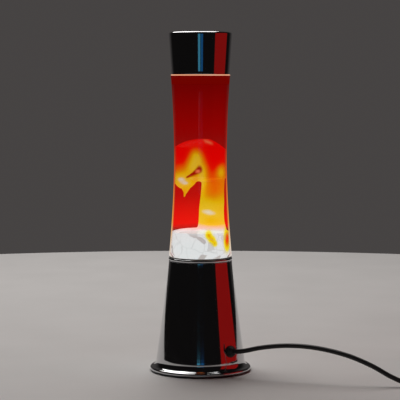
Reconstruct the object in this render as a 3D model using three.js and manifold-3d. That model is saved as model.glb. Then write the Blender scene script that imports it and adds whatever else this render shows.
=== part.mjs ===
// A mains lava lamp: a polished metal cone that holds a reflector bulb, a waisted glass bottle
// of tinted liquid and wax that stands in the cone's mouth, a metal cap over the bottle's neck,
// and a flex with an inline switch and a flat two-pin plug.
//
// Millimetres, +Z up. The origin is on the table under the middle of the lamp. The lamp faces -Y.

import * as THREE from 'three';
import { mergeVertices } from 'three/addons/utils/BufferGeometryUtils.js';
import Module from 'manifold-3d';

const wasm = await Module();
wasm.setup();

// ---------------------------------------------------------------------------------------------
// Driving dimensions
// ---------------------------------------------------------------------------------------------

const GAP = 0.3;                  // clearance that touching pieces keep
const FINE = 32;                  // facets round the large turned pieces
const MEDIUM = 20;                // facets round the bulb and its holder
const SMALL = 12;                 // facets round screws, feet and pins

// Base: a spun cone with a rolled brim and a beaded mouth
const BASE_HEIGHT = 135.2;
const BASE_WALL = 1.2;
const BRIM_RADIUS = 60;
const BRIM_TOP = 6;
const BRIM_BEAD = 3.6;            // width of the rolled edge
const CONE_FOOT = 14;             // height where the cone starts above the flare
const CONE_FOOT_RADIUS = 52.4;
const MOUTH_RADIUS = 37.3;        // outside of the cone just under the mouth bead
const MOUTH_BEAD = 4.2;           // height of the bead
const CONE_CURVE = 1.12;          // 1 is a straight cone, more is slightly hollow

// Base plate, its feet and its screws
const FOOT_PROUD = 1.2;           // how far the feet stand below the brim
const FOOT_HEIGHT = 1.9;
const FOOT_RADIUS = 6;
const FOOT_CIRCLE = 46;
const FOOT_COUNT = 4;
const PLATE_THICKNESS = 1.2;
const PLATE_CLEARANCE = 0.8;      // between the plate and the brim's rolled edge
const PLATE_SCREW_CIRCLE = 49;
const PLATE_SCREW_COUNT = 3;
const SCREW_RADIUS = 1.5;
const SCREW_HEAD_RADIUS = 2.8;
const TAB_LENGTH = 10;
const TAB_WIDTH = 9;
const VENT_COUNT = 8;
const VENT_INNER = 30;
const VENT_OUTER = 41;
const VENT_WIDTH = 4;

// Seat that the bottle stands in
const SEAT_WALL = 1;
const SEAT_LIP = 0.6;
const SEAT_LEDGE = 1.6;
const SEAT_THROAT = 27;

// Bottle
const BOTTLE_BODY_HEIGHT = 214.2; // ledge on the seat up to the shoulder under the cap
const HEEL_DEPTH = 24;            // part of the bottle inside the base
const HEEL_CLEARANCE = 0.4;
const GLASS_WALL = 1.8;
const GLASS_FLOOR = 4;
const FOOT_INSET = 0.2;           // foot of the body inside the line of the base's mouth
const BODY_WAIST_RADIUS = 31;
const BODY_SHOULDER_RADIUS = 34.9;
const WAIST_HEIGHT = 111.6;       // waist above the ledge
const FOOT_CURVE = 1.65;
const SHOULDER_CURVE = 2.15;
const SHOULDER_LEDGE = 2.6;       // flat round the shoulder that the cap stands on
const SHOULDER_PROUD = 0.8;       // shoulder outside the cap's skirt
const NECK_RADIUS = 12.2;
const NECK_BORE = 8;
const FINISH_RADIUS = 13.3;       // bead that the crown closure grips
const NECK_RISE = 35.4;           // shoulder up to the top of the finish
const LIQUID_DROP = 10.6;         // liquid level below the shoulder

// Cap
const CAP_HEIGHT = 49.1;
const CAP_WALL = 1.2;
const CAP_TOP_RADIUS = 37.3;
const CAP_CORNER = 2.2;
const LINER_HEIGHT = 8;
const LINER_THICKNESS = 1;

// Wax
const MOUND_EDGE = 28.2;          // top of the mound above the ledge, at the glass
const MOUND_CROWN = 32.8;
const STALK_RADIUS = 14.4;
const DOME_FILM = 1.1;            // liquid between the dome and the glass at the waist
const DOME_HALF_HEIGHT = 30.5;
const DOME_MIDDLE = 110.8;        // above the ledge
const SPRING_COIL_RADIUS = 2.2;
const SPRING_RING_RADIUS = 24;

// Lampholder, its bracket and its nipple
const BRACKET_HEIGHT = 16.5;
const BRACKET_SPAN = 40;
const BRACKET_FOOT = 10;
const BRACKET_WIDTH = 14;
const SHEET = 1.2;
const NIPPLE_RADIUS = 5;
const NIPPLE_BORE = 3.5;
const NUT_HEIGHT = 3;
const NUT_RADIUS = 8.1;           // across the corners
const HOLDER_RADIUS = 13.5;
const HOLDER_HEIGHT = 37.5;
const HOLDER_FLOOR = 8.5;
const HOLDER_SOCKET = 4.8;        // depth of the nipple's socket
const THREAD_SHELL_RADIUS = 8.1;
const THREAD_SHELL_HEIGHT = 21;
const THREAD_SHELL_DEPTH = 4;     // below the holder's rim
const TERMINAL_RADIUS = 1.5;
const TERMINAL_SPREAD = 4;

// Bulb: a 39 mm reflector with a 14 mm screw cap
const BULB_LENGTH = 66;
const BULB_RADIUS = 19.5;
const BULB_CAP_RADIUS = 6.95;
const BULB_CAP_FOOT = 4.3;        // the screw cap's lower edge above the tip
const BULB_CAP_HEIGHT = 22.7;
const BULB_NECK_RADIUS = 6.1;
const BULB_SEAT = 10.5;           // tip of the bulb above the bottom of the holder
const BULB_GLASS = 0.8;

// Flex and its gland
const CORD_DIAMETER = 5.4;
const GLAND_AZIMUTH = THREE.MathUtils.degToRad(-46);
const GLAND_HEIGHT = 28;
const GLAND_FLANGE = 6.9;
const GLAND_BARREL = 5;
const GLAND_PROUD = 6.4;
const GLAND_INSIDE = 15;
const CORE_RADIUS = 1.1;

// Inline switch
const SWITCH_LENGTH = 62;
const SWITCH_WIDTH = 22;
const SWITCH_HEIGHT = 16;
const SWITCH_WALL = 1.8;
const SWITCH_SPLIT = 7.9;         // height of the cord and of the joint between the shells
const ROCKER_LENGTH = 15;
const ROCKER_WIDTH = 10;
const ROCKER_PROUD = 2.6;
const ROCKER_SWING = 16;          // degrees between on and off

// Plug
const PLUG_WIDTH = 35.3;
const PLUG_REAR_WIDTH = 15;
const PLUG_LENGTH = 33;
const PLUG_THICKNESS = 13.7;
const PLUG_NOSE = 12;
const PIN_LENGTH = 19;
const PIN_RADIUS = 2;
const PIN_SPACING = 18.6;

// Coil of spare cord
const COIL_OUTER_TURN = 37.4;
const COIL_TURNS_ACROSS = 3;
const COIL_LAYERS = 2;
const COIL_LIFT = 0.9;            // the tie passes under the coil
const TIE_WIDTH = 5;
const TIE_THICKNESS = 0.6;

// The cord's centre line, from the gland to the switch: it leaves the gland pointing slightly up,
// arches over and comes down on the table, then turns back beside the lamp.
const LEAD_ROUTE = [
  [38.6, -40.0, 28.7], [45.5, -46.4, 29.8], [54, -51.2, 31.9], [66, -56.2, 35.3], [82, -62, 38.4],
  [100, -69, 40.5], [122, -77, 40.6], [146, -85, 37.7], [170, -92.5, 31.9], [194, -99.5, 22.3],
  [214, -105, 11.6], [230, -109, 5.2], [246, -112.8, 2.9], [262, -116.6, 2.7], [276, -120, 2.7],
  [292, -121.6, 2.7], [307, -116.8, 2.8], [319.5, -107.4, 3.3], [328, -95, 4.9], [331.9, -82, 7.2],
  [332, -71.2, 7.9],
];
const MID_ROUTE = [[332, -5.8, 7.9], [332, 4, 6.6], [332, 14, 4.8], [332, 24, 3.8]];
const TAIL_ROUTE = [[257.2, 24, 8.3], [257.2, 14, 7.2], [257.2, 4.8, 6.8]];
const SWITCH_PLACE = [332, -38.5];
const COIL_PLACE = [294.6, 35];
const PLUG_PLACE = [257.2, 4.5];  // where the cord enters the plug's nose

// ---------------------------------------------------------------------------------------------
// Heights and radii that follow from them
// ---------------------------------------------------------------------------------------------

const plateBottom = FOOT_HEIGHT + GAP;
const plateTop = plateBottom + PLATE_THICKNESS;
const brimInner = BRIM_RADIUS - BRIM_BEAD;
const plateRadius = brimInner - PLATE_CLEARANCE;
const mouthInner = MOUTH_RADIUS - BASE_WALL;
const seatOuter = mouthInner - GAP;
const seatInner = seatOuter - SEAT_WALL;
const heelRadius = seatInner - HEEL_CLEARANCE;
const lipBottom = BASE_HEIGHT + GAP;
const ledge = lipBottom + SEAT_LIP + GAP;
const heelBottom = ledge - HEEL_DEPTH;
const seatLedgeTop = heelBottom - GAP;
const shoulder = ledge + BOTTLE_BODY_HEIGHT;
const glassFloor = heelBottom + GLASS_FLOOR;
const liquidTop = shoulder - LIQUID_DROP;
const finishTop = shoulder + NECK_RISE;
const capBottom = shoulder + GAP;
const capTop = capBottom + CAP_HEIGHT;
const skirtRadius = BODY_SHOULDER_RADIUS - SHOULDER_PROUD;
const capTaper = (CAP_TOP_RADIUS - skirtRadius) / CAP_HEIGHT;
const bodyFootRadius = MOUTH_RADIUS - FOOT_INSET;
const domeRadius = BODY_WAIST_RADIUS - GLASS_WALL - DOME_FILM;
const bracketTop = plateTop + GAP + BRACKET_HEIGHT;
const holderBottom = bracketTop + GAP;
const holderFloor = holderBottom + HOLDER_FLOOR;
const holderTop = holderBottom + HOLDER_HEIGHT;
const terminalHeight = holderBottom + (HOLDER_SOCKET + HOLDER_FLOOR) / 2 + 0.2;
const bulbTip = holderBottom + BULB_SEAT;
const bracketFootMiddle = (BRACKET_SPAN + BRACKET_FOOT) / 2;
const cordRadius = CORD_DIAMETER / 2;
const coilOuter = COIL_OUTER_TURN + cordRadius;
const coilInner = coilOuter - COIL_TURNS_ACROSS * CORD_DIAMETER;
const coilTop = COIL_LIFT + COIL_LAYERS * CORD_DIAMETER;

// Outer radius of the base cone at a height
function coneRadius(height) {
  const top = BASE_HEIGHT - MOUTH_BEAD;
  const down = (top - height) / (top - CONE_FOOT);
  return MOUTH_RADIUS + (CONE_FOOT_RADIUS - MOUTH_RADIUS) * down ** CONE_CURVE;
}

// Outer radius of the bottle's body at a height: it draws in from the foot to the waist and opens
// again to the shoulder
function bodyRadius(height) {
  const waist = ledge + WAIST_HEIGHT;
  if (height < waist) {
    const down = (waist - height) / WAIST_HEIGHT;
    return BODY_WAIST_RADIUS + (bodyFootRadius - BODY_WAIST_RADIUS) * down ** FOOT_CURVE;
  }
  const up = (height - waist) / (shoulder - waist);
  return BODY_WAIST_RADIUS + (BODY_SHOULDER_RADIUS - BODY_WAIST_RADIUS) * up ** SHOULDER_CURVE;
}

// Heights from low to high in equal steps, both ends included
function heights(low, high, steps) {
  return Array.from({ length: steps + 1 }, (_, i) => low + ((high - low) * i) / steps);
}

// ---------------------------------------------------------------------------------------------
// Geometry helpers
// ---------------------------------------------------------------------------------------------

// A solid turned about Z from [radius, height] pairs, listed upwards on the outside
function turned(profile, facets) {
  const points = profile.map(([radius, height]) => new THREE.Vector2(radius, height));
  return new THREE.LatheGeometry(points, facets).rotateX(Math.PI / 2);
}

// A turned ring, whose profile closes on itself
function turnedRing(profile, facets) {
  return turned([...profile, profile[0]], facets);
}

// A round bar along Z from one height to another
function bar(radius, bottom, top, facets) {
  return turned([[0, bottom], [radius, bottom], [radius, top], [0, top]], facets);
}

// A flat outline in X and Y, with holes, raised from one height to another
function slab(outline, holes, bottom, top) {
  const shape = new THREE.Shape(outline);
  shape.holes = holes.map((hole) => new THREE.Path(hole));
  return new THREE.ExtrudeGeometry(shape, { depth: top - bottom, bevelEnabled: false })
    .translate(0, 0, bottom);
}

// Corners of a regular outline about a centre
function ringOutline(radius, facets, centre = [0, 0]) {
  return Array.from({ length: facets }, (_, i) => {
    const angle = (2 * Math.PI * i) / facets;
    return new THREE.Vector2(centre[0] + radius * Math.cos(angle), centre[1] + radius * Math.sin(angle));
  });
}

// A rectangle with rounded corners about the origin
function roundedOutline(width, length, corner, steps = 2) {
  const points = [];
  const corners = [[1, 1, 0], [-1, 1, 1], [-1, -1, 2], [1, -1, 3]];
  for (const [signX, signY, quarter] of corners) {
    for (let i = 0; i <= steps; i += 1) {
      const angle = (quarter + i / steps) * (Math.PI / 2);
      const x = signX * (width / 2 - corner) + corner * Math.cos(angle);
      const y = signY * (length / 2 - corner) + corner * Math.sin(angle);
      points.push(new THREE.Vector2(x, y));
    }
  }
  return points;
}

// An outline drawn in Y and Z, raised along X to both sides of the origin
function acrossX(outline, width) {
  return slab(outline, [], -width / 2, width / 2).rotateX(Math.PI / 2).rotateZ(Math.PI / 2);
}

// A round tube along a route of [x, y, z] points
function tube(route, radius, steps, sides) {
  const path = new THREE.CatmullRomCurve3(route.map((point) => new THREE.Vector3(...point)));
  const section = new THREE.Shape(ringOutline(radius, sides));
  return new THREE.ExtrudeGeometry(section, { steps, extrudePath: path, bevelEnabled: false });
}

// A geometry as a solid that can be cut and joined
function toSolid(geometry) {
  const bare = geometry.clone();
  bare.deleteAttribute('normal');
  bare.deleteAttribute('uv');
  const merged = mergeVertices(bare, 1e-4);
  const corners = merged.index.array;
  const kept = [];
  for (let i = 0; i < corners.length; i += 3) {
    const [a, b, c] = corners.slice(i, i + 3);
    if (a !== b && b !== c && c !== a) kept.push(a, b, c);
  }
  return new wasm.Manifold(new wasm.Mesh({
    numProp: 3,
    vertProperties: new Float32Array(merged.attributes.position.array),
    triVerts: Uint32Array.from(kept),
  }));
}

// A cut or joined solid as a geometry again
function fromSolid(solid) {
  const { vertProperties, triVerts } = solid.getMesh();
  const geometry = new THREE.BufferGeometry();
  geometry.setAttribute('position', new THREE.BufferAttribute(vertProperties, 3));
  geometry.setIndex(new THREE.BufferAttribute(triVerts, 1));
  geometry.computeVertexNormals();
  return geometry;
}

// One geometry with others joined to it and others cut from it
function shaped(geometry, { joined = [], cut = [] }) {
  let solid = toSolid(geometry);
  for (const piece of joined) solid = solid.add(toSolid(piece));
  for (const piece of cut) solid = solid.subtract(toSolid(piece));
  return fromSolid(solid);
}

// ---------------------------------------------------------------------------------------------
// Materials
// ---------------------------------------------------------------------------------------------

function material(color, roughness, metalness, opacity = 1) {
  return new THREE.MeshStandardMaterial({
    color, roughness, metalness, opacity, transparent: opacity < 1,
  });
}

const chrome = () => material(0xc9ccd1, 0.08, 1);
const zinc = () => material(0xa9abad, 0.35, 1);
const brass = () => material(0xc2a14d, 0.3, 1);
const aluminium = () => material(0xb9bcc0, 0.4, 1);
const blackPlastic = () => material(0x0d0d0f, 0.45, 0);
const blackPaint = () => material(0x17181a, 0.5, 0.4);
const rubber = () => material(0x1a1a1a, 0.85, 0);
const clearGlass = () => material(0xf3f6f6, 0.03, 0, 0.25);

const lamp = new THREE.Group();

// Adds one named piece to a group
function piece(group, name, geometry, finish) {
  const mesh = new THREE.Mesh(geometry, finish);
  mesh.name = name;
  group.add(mesh);
  return mesh;
}

// ---------------------------------------------------------------------------------------------
// Base
// ---------------------------------------------------------------------------------------------

// Frame of the gland: X points out of the wall along the cord, and the origin is on the wall
const coneSlope = (coneRadius(GLAND_HEIGHT - 1) - coneRadius(GLAND_HEIGHT + 1)) / 2;
const glandTilt = Math.atan(coneSlope);
const glandFrame = new THREE.Matrix4()
  .makeRotationZ(GLAND_AZIMUTH)
  .multiply(new THREE.Matrix4().makeTranslation(coneRadius(GLAND_HEIGHT), 0, GLAND_HEIGHT))
  .multiply(new THREE.Matrix4().makeRotationY(-glandTilt));

// A turned solid laid along the gland's own axis
function alongGland(geometry) {
  return geometry.rotateY(Math.PI / 2).applyMatrix4(glandFrame);
}

// Angles of pieces spread evenly round the lamp
function around(count, first) {
  return Array.from({ length: count }, (_, i) => first + (2 * Math.PI * i) / count);
}

const screwAngles = around(PLATE_SCREW_COUNT, Math.PI / 2);
const footAngles = around(FOOT_COUNT, Math.PI / 4);

function baseShell() {
  const coneTop = BASE_HEIGHT - MOUTH_BEAD;
  const cone = heights(CONE_FOOT, coneTop, 5);
  const lipTop = brimInner + 1.2;
  const flare = [60, 30].map(THREE.MathUtils.degToRad);
  const outerFlare = flare.map((angle) => [
    lipTop - (lipTop - CONE_FOOT_RADIUS) * Math.cos(angle),
    CONE_FOOT - (CONE_FOOT - BRIM_TOP) * Math.sin(angle),
  ]);
  const innerFlare = outerFlare.map(([radius, height]) => [radius - 0.9, height - 0.7]).reverse();
  const profile = [
    [brimInner + 0.8, FOOT_PROUD], [BRIM_RADIUS - 0.9, FOOT_PROUD], [BRIM_RADIUS, FOOT_PROUD + 1.2],
    [BRIM_RADIUS, BRIM_TOP - 1.5], [BRIM_RADIUS - 0.9, BRIM_TOP - 0.2], [lipTop, BRIM_TOP],
    ...outerFlare,
    ...cone.map((height) => [coneRadius(height), height]),
    [MOUTH_RADIUS + 0.4, coneTop + 1.2], [MOUTH_RADIUS + 0.4, BASE_HEIGHT - 1.4],
    [MOUTH_RADIUS - 0.3, BASE_HEIGHT], [mouthInner + 0.3, BASE_HEIGHT],
    ...cone.map((height) => [coneRadius(height) - BASE_WALL, height]).reverse(),
    ...innerFlare,
    [brimInner, BRIM_TOP - 1.2], [brimInner, FOOT_PROUD + 0.8],
  ];
  const tabBottom = plateTop + GAP;
  const tabs = screwAngles.map((angle) => {
    const length = brimInner + 1 - (PLATE_SCREW_CIRCLE - TAB_LENGTH / 2);
    return new THREE.BoxGeometry(length, TAB_WIDTH, SHEET)
      .translate(brimInner + 1 - length / 2, 0, tabBottom + SHEET / 2)
      .rotateZ(angle);
  });
  const holes = screwAngles.map((angle) => bar(SCREW_RADIUS + GAP, 0, tabBottom + 2 * SHEET, SMALL)
    .translate(PLATE_SCREW_CIRCLE * Math.cos(angle), PLATE_SCREW_CIRCLE * Math.sin(angle), 0));
  const glandHole = alongGland(bar(GLAND_BARREL + GAP, -4, 4, SMALL));
  return shaped(turnedRing(profile, FINE), { joined: tabs, cut: [...holes, glandHole] });
}

function basePlate() {
  const slots = around(VENT_COUNT, Math.PI / VENT_COUNT).map((angle) => {
    const outline = roundedOutline(VENT_OUTER - VENT_INNER, VENT_WIDTH, VENT_WIDTH / 2 - 0.01);
    const middle = new THREE.Vector2((VENT_OUTER + VENT_INNER) / 2, 0);
    return outline.map((point) => point.add(middle).rotateAround(new THREE.Vector2(), angle));
  });
  const screwHoles = screwAngles.map((angle) => ringOutline(SCREW_RADIUS + GAP, SMALL,
    [PLATE_SCREW_CIRCLE * Math.cos(angle), PLATE_SCREW_CIRCLE * Math.sin(angle)]));
  const bracketHoles = [-1, 1].map((side) => ringOutline(SCREW_RADIUS + GAP, SMALL, [
    -side * bracketFootMiddle * Math.sin(GLAND_AZIMUTH),
    side * bracketFootMiddle * Math.cos(GLAND_AZIMUTH),
  ]));
  return slab(ringOutline(plateRadius, FINE), [...slots, ...screwHoles, ...bracketHoles],
    plateBottom, plateTop);
}

// A pan-head screw driven upwards, with its head under the surface at height
function screw(height, length) {
  return turned([
    [0, height - 1.6], [SCREW_HEAD_RADIUS * 0.7, height - 1.6], [SCREW_HEAD_RADIUS, height - 0.9],
    [SCREW_HEAD_RADIUS, height - GAP], [SCREW_RADIUS, height - GAP], [SCREW_RADIUS, height + length],
    [0, height + length + 0.6],
  ], SMALL);
}

function bottleSeat() {
  const lipTop = lipBottom + SEAT_LIP;
  return turnedRing([
    [SEAT_THROAT, seatLedgeTop - SEAT_LEDGE], [seatOuter, seatLedgeTop - SEAT_LEDGE],
    [seatOuter, lipBottom], [MOUTH_RADIUS - 0.5, lipBottom], [MOUTH_RADIUS - 0.5, lipTop],
    [seatInner, lipTop], [seatInner, seatLedgeTop], [SEAT_THROAT, seatLedgeTop],
  ], FINE);
}

const base = new THREE.Group();
lamp.add(base);

piece(base, 'base_shell', baseShell(), chrome());
piece(base, 'bottle_seat', bottleSeat(), blackPlastic());
piece(base, 'base_plate', basePlate(), blackPaint());

footAngles.forEach((angle, i) => {
  const foot = turned([
    [0, 0], [FOOT_RADIUS - 0.5, 0], [FOOT_RADIUS, 0.5], [FOOT_RADIUS, FOOT_HEIGHT], [0, FOOT_HEIGHT],
  ], SMALL);
  const mesh = piece(base, `foot_${i + 1}`, foot, rubber());
  mesh.position.set(FOOT_CIRCLE * Math.cos(angle), FOOT_CIRCLE * Math.sin(angle), 0);
});

screwAngles.forEach((angle, i) => {
  const mesh = piece(base, `plate_screw_${i + 1}`, screw(plateBottom, 5), zinc());
  mesh.position.set(PLATE_SCREW_CIRCLE * Math.cos(angle), PLATE_SCREW_CIRCLE * Math.sin(angle), 0);
});

// ---------------------------------------------------------------------------------------------
// Lampholder on its bracket. This group's X points towards the gland.
// ---------------------------------------------------------------------------------------------

const fittings = new THREE.Group();
fittings.rotation.z = GLAND_AZIMUTH;
lamp.add(fittings);

function bracket() {
  const foot = plateTop + GAP;
  const leg = BRACKET_SPAN / 2;
  const toe = leg + BRACKET_FOOT;
  const section = [
    [-toe, foot], [-leg + SHEET, foot], [-leg + SHEET, bracketTop - SHEET],
    [leg - SHEET, bracketTop - SHEET], [leg - SHEET, foot], [toe, foot], [toe, foot + SHEET],
    [leg, foot + SHEET], [leg, bracketTop], [-leg, bracketTop], [-leg, foot + SHEET],
    [-toe, foot + SHEET],
  ].map(([y, z]) => new THREE.Vector2(y, z));
  const strip = acrossX(section, BRACKET_WIDTH);
  const nippleHole = bar(NIPPLE_RADIUS + GAP, bracketTop - 3, bracketTop + 3, SMALL);
  const screwHoles = [-1, 1].map((side) => bar(SCREW_RADIUS + GAP, 0, foot + 2 * SHEET, SMALL)
    .translate(0, side * bracketFootMiddle, 0));
  return shaped(strip, { cut: [nippleHole, ...screwHoles] });
}

function holderBody() {
  const socketTop = holderBottom + HOLDER_SOCKET;
  const cavity = THREAD_SHELL_RADIUS + GAP;
  const body = turned([
    [0, socketTop], [NIPPLE_RADIUS + GAP, socketTop], [NIPPLE_RADIUS + GAP, holderBottom],
    [HOLDER_RADIUS - 1.5, holderBottom], [HOLDER_RADIUS, holderBottom + 1.5],
    [HOLDER_RADIUS, holderTop - 1], [HOLDER_RADIUS - 1, holderTop], [cavity + 1.5, holderTop],
    [cavity, holderTop - 2.5], [cavity, holderFloor], [0, holderFloor],
  ], MEDIUM);
  const terminals = [-1, 1].map((side) => bar(TERMINAL_RADIUS, 9, HOLDER_RADIUS + 2, 8)
    .rotateY(Math.PI / 2)
    .translate(0, side * TERMINAL_SPREAD, terminalHeight));
  return shaped(body, { cut: terminals });
}

piece(fittings, 'holder_bracket', bracket(), zinc());
[-1, 1].forEach((side, i) => {
  const mesh = piece(fittings, `bracket_screw_${i + 1}`, screw(plateBottom, 4.6), zinc());
  mesh.position.y = side * bracketFootMiddle;
});

const nutTop = bracketTop - SHEET - GAP;
piece(fittings, 'nipple_nut',
  slab(ringOutline(NUT_RADIUS, 6), [ringOutline(NIPPLE_RADIUS + GAP, SMALL)], nutTop - NUT_HEIGHT, nutTop),
  brass());
piece(fittings, 'holder_nipple', turnedRing([
  [NIPPLE_BORE, nutTop - NUT_HEIGHT - 1], [NIPPLE_RADIUS, nutTop - NUT_HEIGHT - 1],
  [NIPPLE_RADIUS, holderBottom + HOLDER_SOCKET - GAP], [NIPPLE_BORE, holderBottom + HOLDER_SOCKET - GAP],
], SMALL), brass());
piece(fittings, 'lampholder', holderBody(), blackPlastic());
const threadTop = holderTop - THREAD_SHELL_DEPTH;
piece(fittings, 'thread_shell', turnedRing([
  [BULB_CAP_RADIUS + GAP, threadTop - THREAD_SHELL_HEIGHT],
  [THREAD_SHELL_RADIUS, threadTop - THREAD_SHELL_HEIGHT],
  [THREAD_SHELL_RADIUS, threadTop], [BULB_CAP_RADIUS + GAP, threadTop],
], MEDIUM), brass());
piece(fittings, 'centre_contact', bar(3.2, holderFloor + GAP, bulbTip - GAP, SMALL), brass());

// ---------------------------------------------------------------------------------------------
// Bulb, in heights above its tip
// ---------------------------------------------------------------------------------------------

const bulb = new THREE.Group();
bulb.position.z = bulbTip;
lamp.add(bulb);

function bulbGlass() {
  const rim = BULB_CAP_FOOT + BULB_CAP_HEIGHT;
  const outer = [
    [BULB_NECK_RADIUS, rim - 8], [BULB_NECK_RADIUS, rim + 0.6], [8.2, rim + 4], [13, rim + 12],
    [17.6, rim + 21], [BULB_RADIUS, rim + 28], [BULB_RADIUS, rim + 31], [17, BULB_LENGTH - 3],
    [11, BULB_LENGTH - 0.7], [0, BULB_LENGTH],
  ];
  const inner = outer.slice(0, 9).map(([radius, height], i) => (
    i < 6 ? [radius - BULB_GLASS, height] : [radius - BULB_GLASS, height - BULB_GLASS]));
  return turned([[0, BULB_LENGTH - BULB_GLASS], ...inner.reverse(), ...outer], MEDIUM);
}

function filament() {
  const rise = BULB_CAP_FOOT + BULB_CAP_HEIGHT + 14;
  return tube([[-5, 0, rise], [-6, 0, rise + 7], [-3.5, 0, rise + 9.5], [0, 0, rise + 10],
    [3.5, 0, rise + 9.5], [6, 0, rise + 7], [5, 0, rise]], 0.35, 12, 6);
}

piece(bulb, 'bulb_tip', turned([[0, 0], [1.6, 0.2], [2.2, 1], [0, 1]], SMALL), zinc());
piece(bulb, 'bulb_insulator', turned([[0, 1 + GAP], [2.6, 1 + GAP], [6.3, 3.6],
  [6.3, BULB_CAP_FOOT - GAP], [0, BULB_CAP_FOOT - GAP]], MEDIUM),
  blackPlastic());
piece(bulb, 'bulb_cap', turnedRing([
  [BULB_NECK_RADIUS + GAP, BULB_CAP_FOOT], [BULB_CAP_RADIUS, BULB_CAP_FOOT],
  [BULB_CAP_RADIUS, BULB_CAP_FOOT + BULB_CAP_HEIGHT],
  [BULB_NECK_RADIUS + GAP, BULB_CAP_FOOT + BULB_CAP_HEIGHT],
], MEDIUM), aluminium());
piece(bulb, 'bulb_glass', bulbGlass(), clearGlass());
piece(bulb, 'bulb_stem', turned([
  [0, 20], [4.9, 20], [4.9, 22], [2, 27], [1.6, 40], [0, 40],
], SMALL), clearGlass());
piece(bulb, 'bulb_filament', filament(), zinc());

// ---------------------------------------------------------------------------------------------
// Bottle, its closure and what is in it
// ---------------------------------------------------------------------------------------------

const bottle = new THREE.Group();
lamp.add(bottle);

// Heights up the bottle's body where its profile has a point, closer together near the foot
const bodyHeights = [0.005, 0.055, 0.16, 0.31, 0.495, 0.68, 0.84]
  .map((share) => ledge + share * BOTTLE_BODY_HEIGHT);

// The inside wall of the bottle, upwards from the floor
function cavityProfile(clearance) {
  const inside = GLASS_WALL + clearance;
  const floor = glassFloor + clearance;
  return [
    [heelRadius - inside - 3, floor], [heelRadius - inside, floor + 3],
    [heelRadius - inside, ledge - 1], [bodyFootRadius - inside - 0.2, ledge + 3],
    ...bodyHeights.slice(1).map((height) => [bodyRadius(height) - inside, height]),
  ];
}

function bottleGlass() {
  const outer = [
    [0, heelBottom + 2.4], [22, heelBottom + 1.8], [28.6, heelBottom], [heelRadius - 1.4, heelBottom + 1],
    [heelRadius, heelBottom + 4], [heelRadius, ledge - 0.1], [bodyFootRadius - 0.4, ledge + 0.2],
    ...bodyHeights.map((height) => [bodyRadius(height), height]),
    [BODY_SHOULDER_RADIUS, shoulder - 1.2], [BODY_SHOULDER_RADIUS - 0.5, shoulder],
    [BODY_SHOULDER_RADIUS - SHOULDER_LEDGE, shoulder], [30.4, shoulder + 4.6], [26.6, shoulder + 13],
    [19.4, shoulder + 20.2], [NECK_RADIUS + 1.6, shoulder + 24], [NECK_RADIUS, shoulder + 27],
    [NECK_RADIUS, finishTop - 5.4], [FINISH_RADIUS, finishTop - 4.6], [FINISH_RADIUS, finishTop - 1.4],
    [NECK_RADIUS, finishTop], [NECK_BORE + 0.3, finishTop],
  ];
  const inner = [
    ...cavityProfile(0),
    [BODY_SHOULDER_RADIUS - GLASS_WALL - 0.6, shoulder - 6], [30, shoulder], [27.4, shoulder + 4.8],
    [24, shoulder + 11.4], [17.6, shoulder + 17.6], [NECK_BORE + 1.6, shoulder + 22],
    [NECK_BORE, shoulder + 26], [NECK_BORE, finishTop - 0.6],
  ];
  return turned([...outer, ...inner.reverse(), [0, glassFloor]], FINE);
}

// The wax, grown all over by a clearance: a mound over the bottle's floor, a stalk that rises from
// it on the right, and a dome that droops to the left
function waxSolid(grow) {
  const wall = cavityProfile(GAP - grow).filter(([, height]) => height < ledge + MOUND_EDGE - 6);
  const groove = SPRING_COIL_RADIUS + GAP;
  const floor = glassFloor + GAP - grow;
  const edge = ledge + MOUND_EDGE + grow;
  const crown = ledge + MOUND_CROWN + grow;
  const notch = grow > 0 ? [] : [
    [SPRING_RING_RADIUS - groove, floor], [SPRING_RING_RADIUS - groove, floor + 2 * groove],
    [SPRING_RING_RADIUS + groove, floor + 2 * groove], [SPRING_RING_RADIUS + groove, floor],
  ];
  const mound = turned([
    [0, floor], ...notch, ...wall, [bodyRadius(edge) - GLASS_WALL - GAP + grow, edge],
    [20, (edge + 2 * crown) / 3], [9, crown], [0, crown],
  ], FINE);
  const stalk = tube([[12, 0, ledge + 22], [13.2, -1, ledge + 46], [12.6, -2, ledge + 74],
    [11, -2, ledge + 100]], STALK_RADIUS + grow, 5, 16);
  const dome = new THREE.SphereGeometry(1, 20, 12)
    .rotateX(Math.PI / 2)
    .scale(domeRadius + grow, domeRadius + grow, DOME_HALF_HEIGHT + grow)
    .translate(0, 0, ledge + DOME_MIDDLE);
  const drip = new THREE.SphereGeometry(1, 12, 8)
    .rotateX(Math.PI / 2)
    .scale(8 + grow, 8 + grow, 14 + grow)
    .translate(-17.5, 0, ledge + 85);
  return shaped(mound, { joined: [stalk, dome, drip] });
}

function liquidSolid() {
  const wall = cavityProfile(GAP).filter(([, height]) => height < liquidTop);
  const level = [bodyRadius(liquidTop) - GLASS_WALL - GAP, liquidTop];
  const column = turned([[0, glassFloor + GAP], ...wall, level, [0, liquidTop]], FINE);
  return shaped(column, { cut: [waxSolid(GAP)] });
}

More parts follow.
